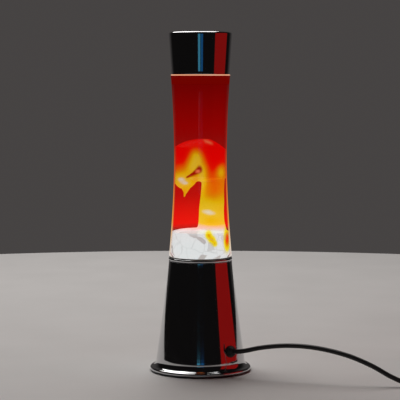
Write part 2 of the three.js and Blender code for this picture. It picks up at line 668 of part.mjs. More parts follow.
piece(bottle, 'bottle_glass', bottleGlass(), clearGlass());
piece(bottle, 'liquid', liquidSolid(), material(0xc4140a, 0.05, 0, 0.55));
piece(bottle, 'wax', waxSolid(0), material(0xffa52e, 0.4, 0));
piece(bottle, 'heat_spring',
  new THREE.TorusGeometry(SPRING_RING_RADIUS, SPRING_COIL_RADIUS, 8, MEDIUM)
    .translate(0, 0, glassFloor + 2 * GAP + SPRING_COIL_RADIUS), zinc());
piece(bottle, 'crown_liner', bar(FINISH_RADIUS - 0.7, finishTop + GAP, finishTop + GAP + 0.8, SMALL),
  rubber());
piece(bottle, 'crown_closure', turned([
  [0, finishTop + 1.4], [FINISH_RADIUS - 0.4, finishTop + 1.4], [FINISH_RADIUS + 0.4, finishTop - 0.4],
  [FINISH_RADIUS + 0.5, finishTop - 4.4], [FINISH_RADIUS + 2, finishTop - 5.2],
  [FINISH_RADIUS + 2.3, finishTop - 4.7], [FINISH_RADIUS + 1, finishTop - 3.8],
  [FINISH_RADIUS + 0.8, finishTop - 0.1], [FINISH_RADIUS - 0.5, finishTop + 1.8], [0, finishTop + 1.8],
], MEDIUM), zinc());

// ---------------------------------------------------------------------------------------------
// Cap
// ---------------------------------------------------------------------------------------------

const cap = new THREE.Group();
lamp.add(cap);

// Outer radius of the cap at a height
function capRadius(height) {
  return skirtRadius + (height - capBottom) * capTaper;
}

function capShell() {
  const corner = [90, 45, 0].map(THREE.MathUtils.degToRad).reverse().map((angle) => [
    CAP_TOP_RADIUS - CAP_CORNER + CAP_CORNER * Math.cos(angle),
    capTop - CAP_CORNER + CAP_CORNER * Math.sin(angle),
  ]);
  const lid = capTop - CAP_WALL;
  return turned([
    [0, lid], [CAP_TOP_RADIUS - CAP_CORNER - 0.6, lid], [capRadius(lid - 1.6) - CAP_WALL, lid - 1.6],
    [skirtRadius - CAP_WALL, capBottom], [skirtRadius, capBottom], ...corner, [0, capTop],
  ], FINE);
}

// The felt ring glued inside the skirt, which keeps the metal off the glass
function capLiner() {
  const low = capBottom + 2;
  const high = low + LINER_HEIGHT;
  const outer = (height) => capRadius(height) - CAP_WALL - GAP;
  return turnedRing([
    [outer(low) - LINER_THICKNESS, low], [outer(low), low], [outer(high), high],
    [outer(high) - LINER_THICKNESS, high],
  ], FINE);
}

piece(cap, 'cap_shell', capShell(), chrome());
piece(cap, 'cap_liner', capLiner(), rubber());

// ---------------------------------------------------------------------------------------------
// Gland and the wiring inside the base
// ---------------------------------------------------------------------------------------------

const domeStart = GAP;
piece(lamp, 'cord_gland', alongGland(turnedRing([
  [cordRadius + GAP, -GLAND_INSIDE], [GLAND_BARREL - 1.2, -GLAND_INSIDE],
  [GLAND_BARREL, -GLAND_INSIDE + 4], [GLAND_BARREL, domeStart], [GLAND_FLANGE, domeStart],
  [GLAND_FLANGE, domeStart + 1.4], [GLAND_FLANGE - 0.8, domeStart + 2.8],
  [GLAND_FLANGE - 2.4, domeStart + 4.8], [cordRadius + 0.9, GLAND_PROUD],
  [cordRadius + GAP, GLAND_PROUD],
], MEDIUM)), rubber());

// A point on the gland's axis in the fittings' frame, by its depth inside the wall
function glandPoint(depth, side = 0) {
  const radius = coneRadius(GLAND_HEIGHT) - depth * Math.cos(glandTilt);
  return [radius, side, GLAND_HEIGHT - depth * Math.sin(glandTilt)];
}

const sheathEnd = GLAND_INSIDE + 8;
const flexDepths = [GLAND_INSIDE - 6, GLAND_INSIDE, sheathEnd];
const flexRoute = flexDepths.map((depth) => glandPoint(depth));
piece(fittings, 'inner_flex', tube(flexRoute, cordRadius, 3, 8), blackPlastic());

const coreColours = { wire_neutral: 0x2a5fb8, wire_live: 0x6a3a1c };
Object.entries(coreColours).forEach(([name, colour], i) => {
  const side = i * 2 - 1;
  piece(fittings, name, tube([
    glandPoint(sheathEnd + GAP, side * 1.4), glandPoint(sheathEnd + 5, side * 2.6),
    [HOLDER_RADIUS + 3, side * TERMINAL_SPREAD, terminalHeight],
    [HOLDER_RADIUS - 3, side * TERMINAL_SPREAD, terminalHeight],
  ], CORE_RADIUS, 6, 8), material(colour, 0.5, 0));
});

// ---------------------------------------------------------------------------------------------
// Cord, inline switch, coil and plug
// ---------------------------------------------------------------------------------------------

// A stretch of the cord, cut off where it meets the gland and the coil
function cordStretch(route, steps) {
  const gland = alongGland(bar(GLAND_FLANGE, -GLAND_INSIDE, GLAND_PROUD + GAP, SMALL));
  const coilBlock = bar(coilOuter + GAP, -cordRadius, coilTop + cordRadius, FINE)
    .translate(...COIL_PLACE, 0);
  return shaped(tube(route, cordRadius, steps, 8), { cut: [gland, coilBlock] });
}

piece(lamp, 'cord_lead', cordStretch(LEAD_ROUTE, 34), blackPlastic());
piece(lamp, 'cord_mid', cordStretch(MID_ROUTE, 4), blackPlastic());
piece(lamp, 'cord_tail', cordStretch(TAIL_ROUTE, 3), blackPlastic());

const coil = new THREE.Group();
coil.position.set(...COIL_PLACE, 0);
lamp.add(coil);
piece(coil, 'cord_coil', turnedRing([
  [coilInner, COIL_LIFT], [coilOuter, COIL_LIFT], [coilOuter, coilTop], [coilInner, coilTop],
], FINE), blackPlastic());

function coilTie() {
  const [inside, outside] = [GAP, GAP + TIE_THICKNESS].map((margin) => [
    new THREE.Vector2(coilInner - margin, COIL_LIFT - margin),
    new THREE.Vector2(coilOuter + margin, COIL_LIFT - margin),
    new THREE.Vector2(coilOuter + margin, coilTop + margin),
    new THREE.Vector2(coilInner - margin, coilTop + margin),
  ]);
  return slab(outside, [inside], -TIE_WIDTH / 2, TIE_WIDTH / 2).rotateX(Math.PI / 2);
}

const tie = piece(coil, 'cord_tie', coilTie(), rubber());
tie.rotation.z = Math.PI / 2;

const inline = new THREE.Group();
inline.position.set(...SWITCH_PLACE, 0);
lamp.add(inline);

const rockerAxis = SWITCH_HEIGHT - 3.2;
const rockerHole = [ROCKER_WIDTH + 1, ROCKER_LENGTH + 2.4];

// Half of the switch's case: a rounded shell with its hollow towards the joint between the halves
function switchShell(bottom, top, hollowBottom, hollowTop, cut) {
  const outline = roundedOutline(SWITCH_WIDTH, SWITCH_LENGTH, 7);
  const inside = roundedOutline(SWITCH_WIDTH - 2 * SWITCH_WALL, SWITCH_LENGTH - 2 * SWITCH_WALL, 5.4);
  const port = bar(cordRadius + GAP, -SWITCH_LENGTH, SWITCH_LENGTH, 12)
    .rotateX(Math.PI / 2)
    .translate(0, 0, SWITCH_SPLIT);
  return shaped(slab(outline, [], bottom, top), {
    cut: [slab(inside, [], hollowBottom, hollowTop), port, ...cut],
  });
}

function rocker() {
  const half = ROCKER_LENGTH / 2;
  const section = [
    [-half, rockerAxis - 1.4], [half, rockerAxis - 1.4], [half, rockerAxis + 1.6 + ROCKER_PROUD],
    [0, rockerAxis + ROCKER_PROUD + 0.4], [-half, rockerAxis + 1.6 + ROCKER_PROUD],
  ].map(([y, z]) => new THREE.Vector2(y, z - rockerAxis));
  return acrossX(section, ROCKER_WIDTH);
}

const rockerWindow = slab(roundedOutline(...rockerHole, 1), [], SWITCH_HEIGHT - 3, SWITCH_HEIGHT + 1);
piece(inline, 'switch_lower', switchShell(0, SWITCH_SPLIT - GAP / 2, SWITCH_WALL, SWITCH_SPLIT + 1, []),
  blackPlastic());
piece(inline, 'switch_upper', switchShell(SWITCH_SPLIT + GAP / 2, SWITCH_HEIGHT, SWITCH_SPLIT - 1,
  SWITCH_HEIGHT - SWITCH_WALL, [rockerWindow]), blackPlastic());
const rockerMesh = piece(inline, 'switch_rocker', rocker(), blackPlastic());
rockerMesh.position.z = rockerAxis;
rockerMesh.rotation.x = THREE.MathUtils.degToRad(-ROCKER_SWING / 2);

const plug = new THREE.Group();
plug.position.set(...PLUG_PLACE, PLUG_THICKNESS / 2);
lamp.add(plug);

function plugBody() {
  const rear = -PLUG_NOSE;
  const front = rear - PLUG_LENGTH;
  const outline = [
    [-PLUG_REAR_WIDTH / 2, rear], [-PLUG_REAR_WIDTH / 2 - 2.5, rear - 3], [-PLUG_WIDTH / 2, rear - 22],
    [-PLUG_WIDTH / 2, front], [PLUG_WIDTH / 2, front], [PLUG_WIDTH / 2, rear - 22],
    [PLUG_REAR_WIDTH / 2 + 2.5, rear - 3], [PLUG_REAR_WIDTH / 2, rear],
  ].map(([x, y]) => new THREE.Vector2(x, y));
  const nose = turned([
    [0, -2], [5.2, -2], [5.2, 0], [cordRadius + 0.8, PLUG_NOSE - 1.2], [cordRadius + 0.8, PLUG_NOSE - GAP],
    [0, PLUG_NOSE - GAP],
  ], SMALL).rotateX(-Math.PI / 2).translate(0, rear, 0);
  return shaped(slab(outline, [], -PLUG_THICKNESS / 2, PLUG_THICKNESS / 2), { joined: [nose] });
}

piece(plug, 'plug_body', plugBody(), blackPlastic());
[-1, 1].forEach((side, i) => {
  const pin = turned([
    [0, GAP], [PIN_RADIUS, GAP], [PIN_RADIUS, PIN_LENGTH - 1], [PIN_RADIUS * 0.5, PIN_LENGTH],
    [0, PIN_LENGTH],
  ], SMALL).rotateX(Math.PI / 2);
  const mesh = piece(plug, `plug_pin_${i + 1}`, pin, brass());
  mesh.position.set((side * PIN_SPACING) / 2, -PLUG_NOSE - PLUG_LENGTH, 0);
});

export default lamp;
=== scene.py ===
import math

import bpy
import numpy as np
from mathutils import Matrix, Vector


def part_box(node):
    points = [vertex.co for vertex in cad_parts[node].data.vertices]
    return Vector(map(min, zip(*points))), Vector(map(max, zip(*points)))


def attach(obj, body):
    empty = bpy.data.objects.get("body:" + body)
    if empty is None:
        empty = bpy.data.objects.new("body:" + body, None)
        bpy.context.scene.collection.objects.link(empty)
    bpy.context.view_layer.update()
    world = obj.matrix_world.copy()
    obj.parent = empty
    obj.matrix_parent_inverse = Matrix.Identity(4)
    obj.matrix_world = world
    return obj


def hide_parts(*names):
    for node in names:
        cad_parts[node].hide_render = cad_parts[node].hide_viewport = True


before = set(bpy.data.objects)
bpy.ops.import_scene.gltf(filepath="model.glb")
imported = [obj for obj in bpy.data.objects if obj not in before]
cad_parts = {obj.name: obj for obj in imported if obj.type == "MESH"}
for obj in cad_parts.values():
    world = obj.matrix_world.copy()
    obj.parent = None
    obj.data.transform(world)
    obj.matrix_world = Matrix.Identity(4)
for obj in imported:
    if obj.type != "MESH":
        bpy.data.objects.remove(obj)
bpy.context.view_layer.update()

# ----------------------------
# The view: a long lens two metres in front of the lamp, a little above its middle, looking
# slightly down.
view_height = 0.3487
view_distance = 1.885
view_fall = math.radians(4.43)
camera = bpy.data.objects.new("camera", bpy.data.cameras.new("camera"))
bpy.context.collection.objects.link(camera)
camera.data.lens = 144
camera.data.sensor_width = 36
camera.data.clip_start = 0.05
camera.location = (-0.0005, -view_distance, view_height)
camera.rotation_euler = (math.pi / 2 - view_fall, 0, 0)
bpy.context.scene.camera = camera
bpy.context.scene.view_settings.view_transform = "Standard"


# ----------------------------
# The studio: a round pale table top in a room that is dim but for the wall behind, a soft light
# overhead, two low cool panels behind the viewer and a dim red one on the right, which stand as
# upright bands in the chrome.
class Tone:
    """A value or colour in a finish. + - * / and ** on values add Math nodes, on either side."""

    def __init__(self, tree, socket=None):
        self.tree = tree
        self.socket = socket

    def node(self, kind, settings=None, values=None, out=0):
        """A node of a kind: first its settings and a ramp's stops, then its sockets' values or links."""
        made = self.tree.nodes.new(kind)
        for name, setting in (settings or {}).items():
            if name == "stops":
                ramp = made.color_ramp
                for place, colour in setting[1:-1]:
                    ramp.elements.new(place).color = (*colour, 1)
                for end, (place, colour) in ((0, setting[0]), (-1, setting[-1])):
                    ramp.elements[end].position = place
                    ramp.elements[end].color = (*colour, 1)
            else:
                setattr(made, name, setting)
        for name, value in (values or {}).items():
            socket = made.inputs[name]
            if isinstance(value, Tone):
                self.tree.links.new(value.socket, socket)
            else:
                socket.default_value = (*value, 1) if socket.type == "RGBA" else value
        return Tone(self.tree, made.outputs[out])

    def sum(self, operation, first, second):
        """One Math node."""
        return self.node("ShaderNodeMath", {"operation": operation}, {0: first, 1: second})

    def __add__(self, other):
        return self.sum("ADD", self, other)

    def __radd__(self, other):
        return self.sum("ADD", other, self)

    def __sub__(self, other):
        return self.sum("SUBTRACT", self, other)

    def __rsub__(self, other):
        return self.sum("SUBTRACT", other, self)

    def __mul__(self, other):
        return self.sum("MULTIPLY", self, other)

    def __rmul__(self, other):
        return self.sum("MULTIPLY", other, self)

    def __truediv__(self, other):
        return self.sum("DIVIDE", self, other)

    def __pow__(self, other):
        return self.sum("POWER", self, other)

    def noise(self, place, scale, detail=3.0, roughness=0.5):
        """Soft noise from 0 to 1 over a place."""
        values = {"Vector": place, "Scale": scale, "Detail": detail, "Roughness": roughness}
        return self.node("ShaderNodeTexNoise", {"noise_dimensions": "3D"}, values)

    def step(self, value, low, high, start=0.0, end=1.0):
        """A smooth step from start to end as a value goes from low to high."""
        values = {"Value": value, "From Min": low, "From Max": high, "To Min": start, "To Max": end}
        return self.node("ShaderNodeMapRange", {"interpolation_type": "SMOOTHSTEP"}, values)

    def blend(self, share, first, second):
        """Two colours mixed by a share."""
        values = {0: share, 6: first, 7: second}
        return self.node("ShaderNodeMix", {"data_type": "RGBA"}, values, 2)

    def ramp(self, value, stops):
        """A colour that runs through stops of (place, colour) as a value goes from 0 to 1."""
        return self.node("ShaderNodeValToRGB", {"stops": stops}, {"Fac": value})

    def layered(self, share, under, over):
        """A share of one shader laid over another."""
        return self.node("ShaderNodeMixShader", None, {0: share, 1: under, 2: over})

    def stretched(self, place, scale):
        """A place with each of its axes scaled."""
        return self.node("ShaderNodeMapping", {"vector_type": "POINT"}, {"Vector": place, "Scale": scale})

    def part(self, place, axis):
        """One of a place's three numbers: 0 is x, 1 is y and 2 is z."""
        return self.node("ShaderNodeSeparateXYZ", None, {"Vector": place}, axis)

    def mark(self, name):
        """A number that the mesh holds at each of its points."""
        return self.node("ShaderNodeAttribute", {"attribute_name": name}, out=2)

    def bump(self, height, strength, distance=0.0002):
        """A bumped normal from a height."""
        values = {"Strength": strength, "Distance": distance, "Height": height}
        return self.node("ShaderNodeBump", None, values)


def finish_of(name):
    """A new finish with its nodes cleared: the finish, its maker and its object place."""
    made = bpy.data.materials.new(name)
    made.use_nodes = True
    tree = made.node_tree
    tree.nodes.clear()
    tone = Tone(tree)
    place = tone.node("ShaderNodeTexCoord", out=3)
    return made, tone, place


def surface(tone, shader):
    """Joins a shader to its finish's output."""
    output = tone.tree.nodes.new("ShaderNodeOutputMaterial")
    tone.tree.links.new(shader.socket, output.inputs["Surface"])


def painted(tone, values):
    """Joins a Principled shader with these values to its finish's output."""
    surface(tone, tone.node("ShaderNodeBsdfPrincipled", None, values))


def grid_mesh(name, points, closed_rows=False, closed_columns=False, ends=(None, None)):
    """A skin over a grid of points, rows by columns: one four-sided face between each pair of
    neighbouring rows and columns, and a fan of triangles from each end point to its nearest row."""
    rows, columns = points.shape[:2]
    number = np.arange(rows * columns).reshape(rows, columns)
    low = number if closed_rows else number[:-1]
    high = np.roll(number, -1, 0) if closed_rows else number[1:]
    after_low = np.roll(low, -1, 1)
    after_high = np.roll(high, -1, 1)
    quads = np.stack([low, after_low, after_high, high], -1)
    if not closed_columns:
        quads = quads[:, :-1]
    faces = quads.reshape(-1, 4).tolist()
    places = points.reshape(-1, 3)
    if ends[0] is not None:
        first = np.stack([np.full(columns, len(places)), np.roll(number[0], -1), number[0]], -1)
        faces += first.tolist()
        places = np.vstack([places, ends[0]])
    if ends[1] is not None:
        last = np.stack([number[-1], np.roll(number[-1], -1), np.full(columns, len(places))], -1)
        faces += last.tolist()
        places = np.vstack([places, ends[1]])
    mesh = bpy.data.meshes.new(name)
    mesh.from_pydata(places.tolist(), [], faces)
    mesh.validate()
    mesh.shade_smooth()
    mesh.set_sharp_from_angle(angle=math.radians(50))
    made = bpy.data.objects.new(name, mesh)
    bpy.context.collection.objects.link(made)
    return made


def bearings(around):
    """Angles in even steps once round, the last of them one step short of the first."""
    return np.linspace(0, 2 * math.pi, around, endpoint=False)


def turned(name, profile, around=192):
    """A profile of (radius, height) in millimetres turned about the upright axis: x is the radius
    times the cosine of the angle and y times its sine. A profile that starts or ends on the axis is
    closed there by a fan, and one that does neither closes on itself."""
    profile = np.asarray(profile, float) * 0.001
    on_axis = profile[:, 0] < 1e-6
    ends = [None, None]
    for end, row in ((0, 0), (1, -1)):
        if on_axis[row]:
            ends[end] = [0, 0, profile[row, 1]]
    rings = profile[~on_axis]
    angle = bearings(around)
    x = rings[:, :1] * np.cos(angle)
    y = rings[:, :1] * np.sin(angle)
    z = np.repeat(rings[:, 1:], around, 1)
    return grid_mesh(name, np.stack([x, y, z], -1), not on_axis.any(), True, ends)


def eased(corners, radius, steps=5):
    """A line through corners with each inner corner rounded: the corner's point weighs 2 t (1 - t),
    and the points at the rounding's two ends (1 - t) squared and t squared."""
    corners = np.asarray(corners, float)
    radius = np.broadcast_to(radius, len(corners))
    before, corner, after = corners[:-2], corners[1:-1], corners[2:]
    back, ahead = before - corner, after - corner
    reach_back = np.linalg.norm(back, axis=1, keepdims=True)
    reach_ahead = np.linalg.norm(ahead, axis=1, keepdims=True)
    cut = np.minimum(radius[1:-1, None], 0.45 * np.minimum(reach_back, reach_ahead))
    start = corner + back / reach_back * cut
    end = corner + ahead / reach_ahead * cut
    t = np.linspace(0, 1, steps)[None, :, None]
    curve = start[:, None] * (1 - t) ** 2 + corner[:, None] * 2 * t * (1 - t) + end[:, None] * t**2
    return np.vstack([corners[:1], curve.reshape(-1, corners.shape[1]), corners[-1:]])


table_radius = 1300
table_top = turned("table_top", [(0, -30), (table_radius, -30), (table_radius, 0), (0, 0)])
table_finish, tone, place = finish_of("table_paint")
grain = tone.noise(place, 9.0, 6.0)
table_colour = tone.blend(grain, (0.60, 0.59, 0.58), (0.68, 0.67, 0.66))
table_bump = tone.bump(tone.noise(place, 300.0), 0.05, 0.001)
painted(tone, {
    "Base Color": table_colour,
    "Roughness": 0.55 + 0.1 * grain,
    "Normal": table_bump,
})
table_top.data.materials.append(table_finish)

room = bpy.data.worlds.new("room")
room.use_nodes = True
tone = Tone(room.node_tree)
bearing = tone.part(tone.node("ShaderNodeTexCoord"), 1)
backdrop = tone.blend(tone.step(bearing, 0.6, 1.0), (0.0055, 0.005, 0.005), (0.062, 0.057, 0.056))
wall = room.node_tree.nodes["Background"].inputs["Color"]
room.node_tree.links.new(backdrop.socket, wall)
bpy.context.scene.world = room


def panel(name, place, towards, width, height, power, colour):
    """A soft light panel at a place, turned so that it faces another."""
    light = bpy.data.lights.new(name, "AREA")
    light.shape = "RECTANGLE"
    light.size = width
    light.size_y = height
    light.energy = power
    light.color = colour
    made = bpy.data.objects.new(name, light)
    bpy.context.collection.objects.link(made)
    made.location = place
    away = np.subtract(place, towards)
    turn = math.atan2(away[0], -away[1])
    tilt = math.atan2(math.hypot(away[0], away[1]), away[2])
    made.rotation_euler = (tilt, 0, turn)
    return made


panel("overhead", (-0.35, 1.0, 1.9), (0, 0, 0), 1.8, 1.8, 36, (1.0, 0.97, 0.95))
panel("low_cyan", (-0.175, -2.15, 0.14), (-0.175, 0, 0.14), 0.31, 0.2, 0.062, (0.12, 0.66, 1.0))
panel("low_blue", (0.2, -2.15, 0.14), (0.2, 0, 0.14), 0.3, 0.2, 0.036, (0.02, 0.36, 1.0))
panel("warm_side", (1.15, -0.18, 0.42), (0, -0.18, 0.42), 1.26, 0.84, 0.86, (1.0, 0.004, 0.002))

# ----------------------------
# Flex: one length of black two-core mains lead in a soft PVC sheath. It arches out of the gland,
# goes through the inline switch, lies in a tied coil of four and a half turns and ends in the plug.
cord_diameter = 0.0054
turn_radii = (37.4, 32.0, 26.6)
coil_layers = (3.6, 9.0)
coil_middle = (294.6, 35.0)


def flow(value, low, high):
    """A smooth step: t squared times (3 - 2 t), where t is how far value is from low to high."""
    t = np.clip((value - low) / (high - low), 0, 1)
    return t * t * (3 - 2 * t)


def coil_line(step=6.0):
    """The coil: a circle about its middle whose radius steps in by one cord width late in the first
    and second turns, climbs a layer in the third and steps out again at the third's and fourth's end."""
    angle = np.arange(0, 1620 + step, step)
    width = turn_radii[0] - turn_radii[1]
    inward = flow(angle, 220, 360) + flow(angle, 580, 720)
    outward = flow(angle, 1040, 1180) + flow(angle, 1400, 1540)
    radius = turn_radii[0] + width * (outward - inward)
    height = coil_layers[0] + (coil_layers[1] - coil_layers[0]) * flow(angle, 820, 940)
    bearing = np.radians(angle)
    x = coil_middle[0] + radius * np.cos(bearing)
    y = coil_middle[1] + radius * np.sin(bearing)
    return np.stack([x, y, height], -1)


def smooth_line(points, share=8):
    """A centripetal Catmull-Rom line: knots a square root of a distance apart, and between two
    points the line mixes, three times over, neighbouring points by how near their knots are."""
    points = np.asarray(points, float)
    whole = np.vstack([2 * points[0] - points[1], points, 2 * points[-1] - points[-2]])
    gaps = np.sqrt(np.linalg.norm(np.diff(whole, axis=0), axis=1))
    knots = np.concatenate([[0], np.cumsum(gaps)])
    p = [whole[i : len(whole) - 3 + i, None] for i in range(4)]
    k = [knots[i : len(knots) - 3 + i, None, None] for i in range(4)]
    t = k[1] + (k[2] - k[1]) * np.linspace(0, 1, share, endpoint=False)[None, :, None]

    def between(first, second, low, high):
        return first * (high - t) / (high - low) + second * (t - low) / (high - low)

    a = [between(p[i], p[i + 1], k[i], k[i + 1]) for i in range(3)]
    b = [between(a[i], a[i + 1], k[i], k[i + 2]) for i in range(2)]
    line = between(b[0], b[1], k[1], k[2]).reshape(-1, 3)
    return np.vstack([line, points[-1:]])


def tube(name, line, radius, around=16):
    """A round section carried along a line: at each point it lies across the line's direction, with
    one axis level, and both of its ends are closed."""
    line = np.asarray(line, float)
    ahead = np.gradient(line, axis=0)
    ahead /= np.linalg.norm(ahead, axis=1, keepdims=True)
    level = np.cross(ahead, [0, 0, 1])
    level /= np.linalg.norm(level, axis=1, keepdims=True)
    upright = np.cross(level, ahead)
    angle = bearings(around)[None, :, None]
    radius = np.broadcast_to(radius, len(line))[:, None, None]
    ring = level[:, None] * np.cos(angle) - upright[:, None] * np.sin(angle)
    return grid_mesh(name, line[:, None] + radius * ring, False, True, (line[0], line[-1]))


lead_points = [
    (38.6, -40.0, 28.7), (45.5, -46.4, 29.8), (54, -51.2, 31.9), (66, -56.2, 35.3), (82, -62, 38.4),
    (100, -69, 40.5), (122, -77, 40.6), (146, -85, 37.7), (170, -92.5, 31.9), (194, -99.5, 22.3),
    (214, -105, 11.6), (230, -109, 5.2), (246, -112.8, 2.9), (262, -116.6, 2.7), (276, -120, 2.7),
    (292, -121.6, 2.7), (307, -116.8, 2.8), (319.5, -107.4, 3.3), (328, -95, 4.9), (331.9, -82, 7.2),
    (332, -71.2, 7.9),
]
middle_points = [(332, -54, 7.9), (332, -38, 7.9), (332, -22, 7.9), (332, -5.8, 7.9), (332, 4, 6.6),
                 (332, 14, 4.8), (332, 24, 3.8)]
tail_points = [(257.2, 24, 8.3), (257.2, 14, 7.2), (257.2, 4.8, 6.8), (257.2, 2.2, 6.85)]
cord_line = smooth_line(np.vstack([lead_points, middle_points, coil_line(), tail_points]), 6) * 0.001
cord_length = float(np.linalg.norm(np.diff(cord_line, axis=0), axis=1).sum())
flex = tube("flex", cord_line, cord_diameter / 2, 18)

sheath, tone, place = finish_of("pvc_sheath")
handling = tone.noise(place, 55.0, 4.0)
ripple = tone.noise(place, 900.0, 2.0)
sheath_colour = tone.blend(handling, (0.010, 0.010, 0.011), (0.030, 0.029, 0.030))
sheath_bump = tone.bump(ripple + 0.6 * handling, 0.12, 0.0003)
painted(tone, {
    "Base Color": sheath_colour,
    "Roughness": 0.34 + 0.22 * handling,
    "Specular IOR Level": 0.45,
    "Normal": sheath_bump,
})
flex.data.materials.append(sheath)
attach(flex, "base")
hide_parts("cord_lead", "cord_mid", "cord_tail", "cord_coil")

# ----------------------------
# Base shell: one sheet of steel spun to a cone, with a flared foot that ends in a rolled brim and
# a bead rolled round its mouth, then polished and chrome plated.
brim_radius = 60.0
brim_low = 1.2
brim_high = 6.0
brim_roll = 2.4
bead_roll = 1.9
foot_radius = 52.4
foot_height = 14.0
cone_top = 131.0
mouth_radius = 37.3
base_height = 135.2
metal_wall = 1.2


def cone_radius(height):
    """The cone's radius: the mouth's, plus 15.1 times the share of the way down to the power 1.12."""
    share = (cone_top - np.asarray(height, float)) / (cone_top - foot_height)
    return mouth_radius + (foot_radius - mouth_radius) * share**1.12


def arc(middle, radius, start, end, steps):
    """Points on a circle from one angle in degrees to another."""
    bearing = np.radians(np.linspace(start, end, steps))
    return np.stack([middle[0] + radius * np.cos(bearing), middle[1] + radius * np.sin(bearing)], -1)


lip_radius = brim_radius - brim_roll
sweep = np.radians(np.linspace(86, 4, 14))
flare = np.stack([lip_radius - (lip_radius - foot_radius) * np.cos(sweep),
                  foot_height - (foot_height - brim_high) * np.sin(sweep)], -1)
rise = np.linspace(foot_height, cone_top, 40)
cone = np.stack([cone_radius(rise), rise], -1)
bead = arc((mouth_radius - 1.5, 133.2), bead_roll, -70, 95, 12)
brim = arc((lip_radius, brim_low + brim_roll), brim_roll, -90, 90, 16)
inside_cone = np.stack([cone_radius(rise) - metal_wall, rise], -1)[::-1]
base_shell = turned("chrome_base", np.vstack([
    [(brim_radius - 3.2, brim_low)], brim, flare, cone, bead,
    [(mouth_radius - 1.2, base_height)], inside_cone,
    flare[::-1] - (0.9, 0.7), [(brim_radius - 3.6, brim_high - 1.2), (brim_radius - 3.6, brim_low + 0.8)],
]), 288)

chrome, tone, place = finish_of("chrome_plate")
height = tone.part(place, 2)
turning = tone.noise(tone.stretched(place, (3, 3, 900)), 1.0, 2.0)
smear = tone.noise(place, 22.0, 5.0, 0.62)
dust = tone.step(tone.noise(place, 420.0, 3.0), 0.62, 0.78)
chrome_colour = tone.blend(smear, (0.60, 0.605, 0.62), (0.70, 0.705, 0.715))
chrome_bump = tone.bump(turning + 0.4 * smear, 0.035)
painted(tone, {
    "Base Color": chrome_colour,
    "Metallic": 1.0,
    "Roughness": 0.030 + 0.035 * smear + 0.08 * dust,
    "Normal": chrome_bump,
})
base_shell.data.materials.append(chrome)
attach(base_shell, "base")
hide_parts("base_shell")

# ----------------------------
# Gland: the black rubber strain relief that is pushed into the base's wall. A flange sits on the
# chrome, and its nose tapers down to the cord in three ribs.
gland_bearing = math.radians(-46)
gland_height = 28.0
gland_slope = math.radians(8.1)


def moved(made, change):
    """Puts a made piece's points through a function."""
    flat = np.zeros(len(made.data.vertices) * 3)
    made.data.vertices.foreach_get("co", flat)
    made.data.vertices.foreach_set("co", np.ravel(change(flat.reshape(-1, 3))))
    made.data.update()


def along_gland(points):
    """Lays points along the gland's axis: their upright axis goes out of the wall, tipped up by the
    wall's slope, and their middle goes to the point on the wall."""
    out = np.array([math.cos(gland_bearing) * math.cos(gland_slope),
                    math.sin(gland_bearing) * math.cos(gland_slope), math.sin(gland_slope)])
    side = np.array([-math.sin(gland_bearing), math.cos(gland_bearing), 0])
    up = np.cross(out, side)
    wall = cone_radius(gland_height) * 0.001
    middle = [wall * math.cos(gland_bearing), wall * math.sin(gland_bearing), gland_height * 0.001]
    return points @ np.array([side, up, out]) + middle


gland = turned("rubber_gland", eased([
    (2.9, -15), (3.8, -15), (5.0, -11), (5.0, 0.3), (6.9, 0.3), (6.9, 1.5), (6.3, 2.6), (5.6, 3.2),
    (5.7, 3.7), (5.0, 4.5), (4.4, 4.9), (4.4, 5.3), (3.7, 6.4), (2.9, 6.4),
], (0, 0.3, 1, 0.2, 0.3, 0.5, 0.4, 0.25, 0.25, 0.4, 0.2, 0.2, 0.4, 0), 4), 72)
moved(gland, along_gland)
rubber, tone, place = finish_of("soft_rubber")
bloom = tone.noise(place, 160.0, 5.0)
rubber_colour = tone.blend(bloom, (0.012, 0.012, 0.013), (0.040, 0.039, 0.038))
rubber_bump = tone.bump(tone.noise(place, 1600.0, 3.0), 0.25)
painted(tone, {
    "Base Color": rubber_colour,
    "Roughness": 0.5 + 0.25 * bloom,
    "Normal": rubber_bump,
})
gland.data.materials.append(rubber)
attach(gland, "base")
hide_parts("cord_gland")

# ----------------------------
# Bottle: blown clear glass that stands in the base on its heel, draws in to a waist and ends in a
# short neck under the cap. Its edges glow with painted light: emission that stands in for the bulb's
# light piped up its thick wall.
ledge = 136.4
shoulder = 350.6
waist = 248.0
waist_radius = 31.0
glass_wall = 1.0
film = 0.12


def body_radius(height):
    """The bottle's radius: the waist's, plus 6.1 times the share of the way down to the ledge to the
    power 1.65, or plus 3.9 times the share of the way up to the shoulder to the power 2.15."""
    height = np.asarray(height, float)
    down = np.clip((waist - height) / (waist - ledge), 0, None) ** 1.65
    up = np.clip((height - waist) / (shoulder - waist), 0, None) ** 2.15
    return waist_radius + 6.1 * down + 3.9 * up


body_rise = np.concatenate([np.linspace(137.4, 230, 30), np.linspace(234, 349.0, 36)])
body = np.stack([body_radius(body_rise), body_rise], -1)
foot_outside = eased([(22, 114.2), (28.6, 112.4), (33.0, 113.4), (34.4, 116.4), (34.4, 136.3),
                      (36.7, 136.6), (body_radius(137.4), 137.4)], 1.6, 5)
neck_outside = eased([
    (34.9, 349.4), (34.4, 350.6), (32.3, 350.6), (30.4, 355.2), (26.6, 363.6), (19.4, 370.8),
    (13.8, 374.6), (12.2, 377.6), (12.2, 380.6), (13.3, 381.4), (13.3, 384.6), (12.2, 386), (9.9, 386),
], (0, 0.8, 0.8, 3, 4, 4, 3, 2, 0.5, 1, 1, 1, 0), 5)
neck_inside = eased([(9.6, 385.4), (9.6, 376.6), (11.2, 372.6), (17.6, 368.2), (24, 362), (27.4, 355.4),
                     (30, 350.6), (32.9, 344.6)], 3, 5)
inside_rise = np.linspace(343, 141, 60)
inside_body = np.stack([body_radius(inside_rise) - glass_wall, inside_rise], -1)
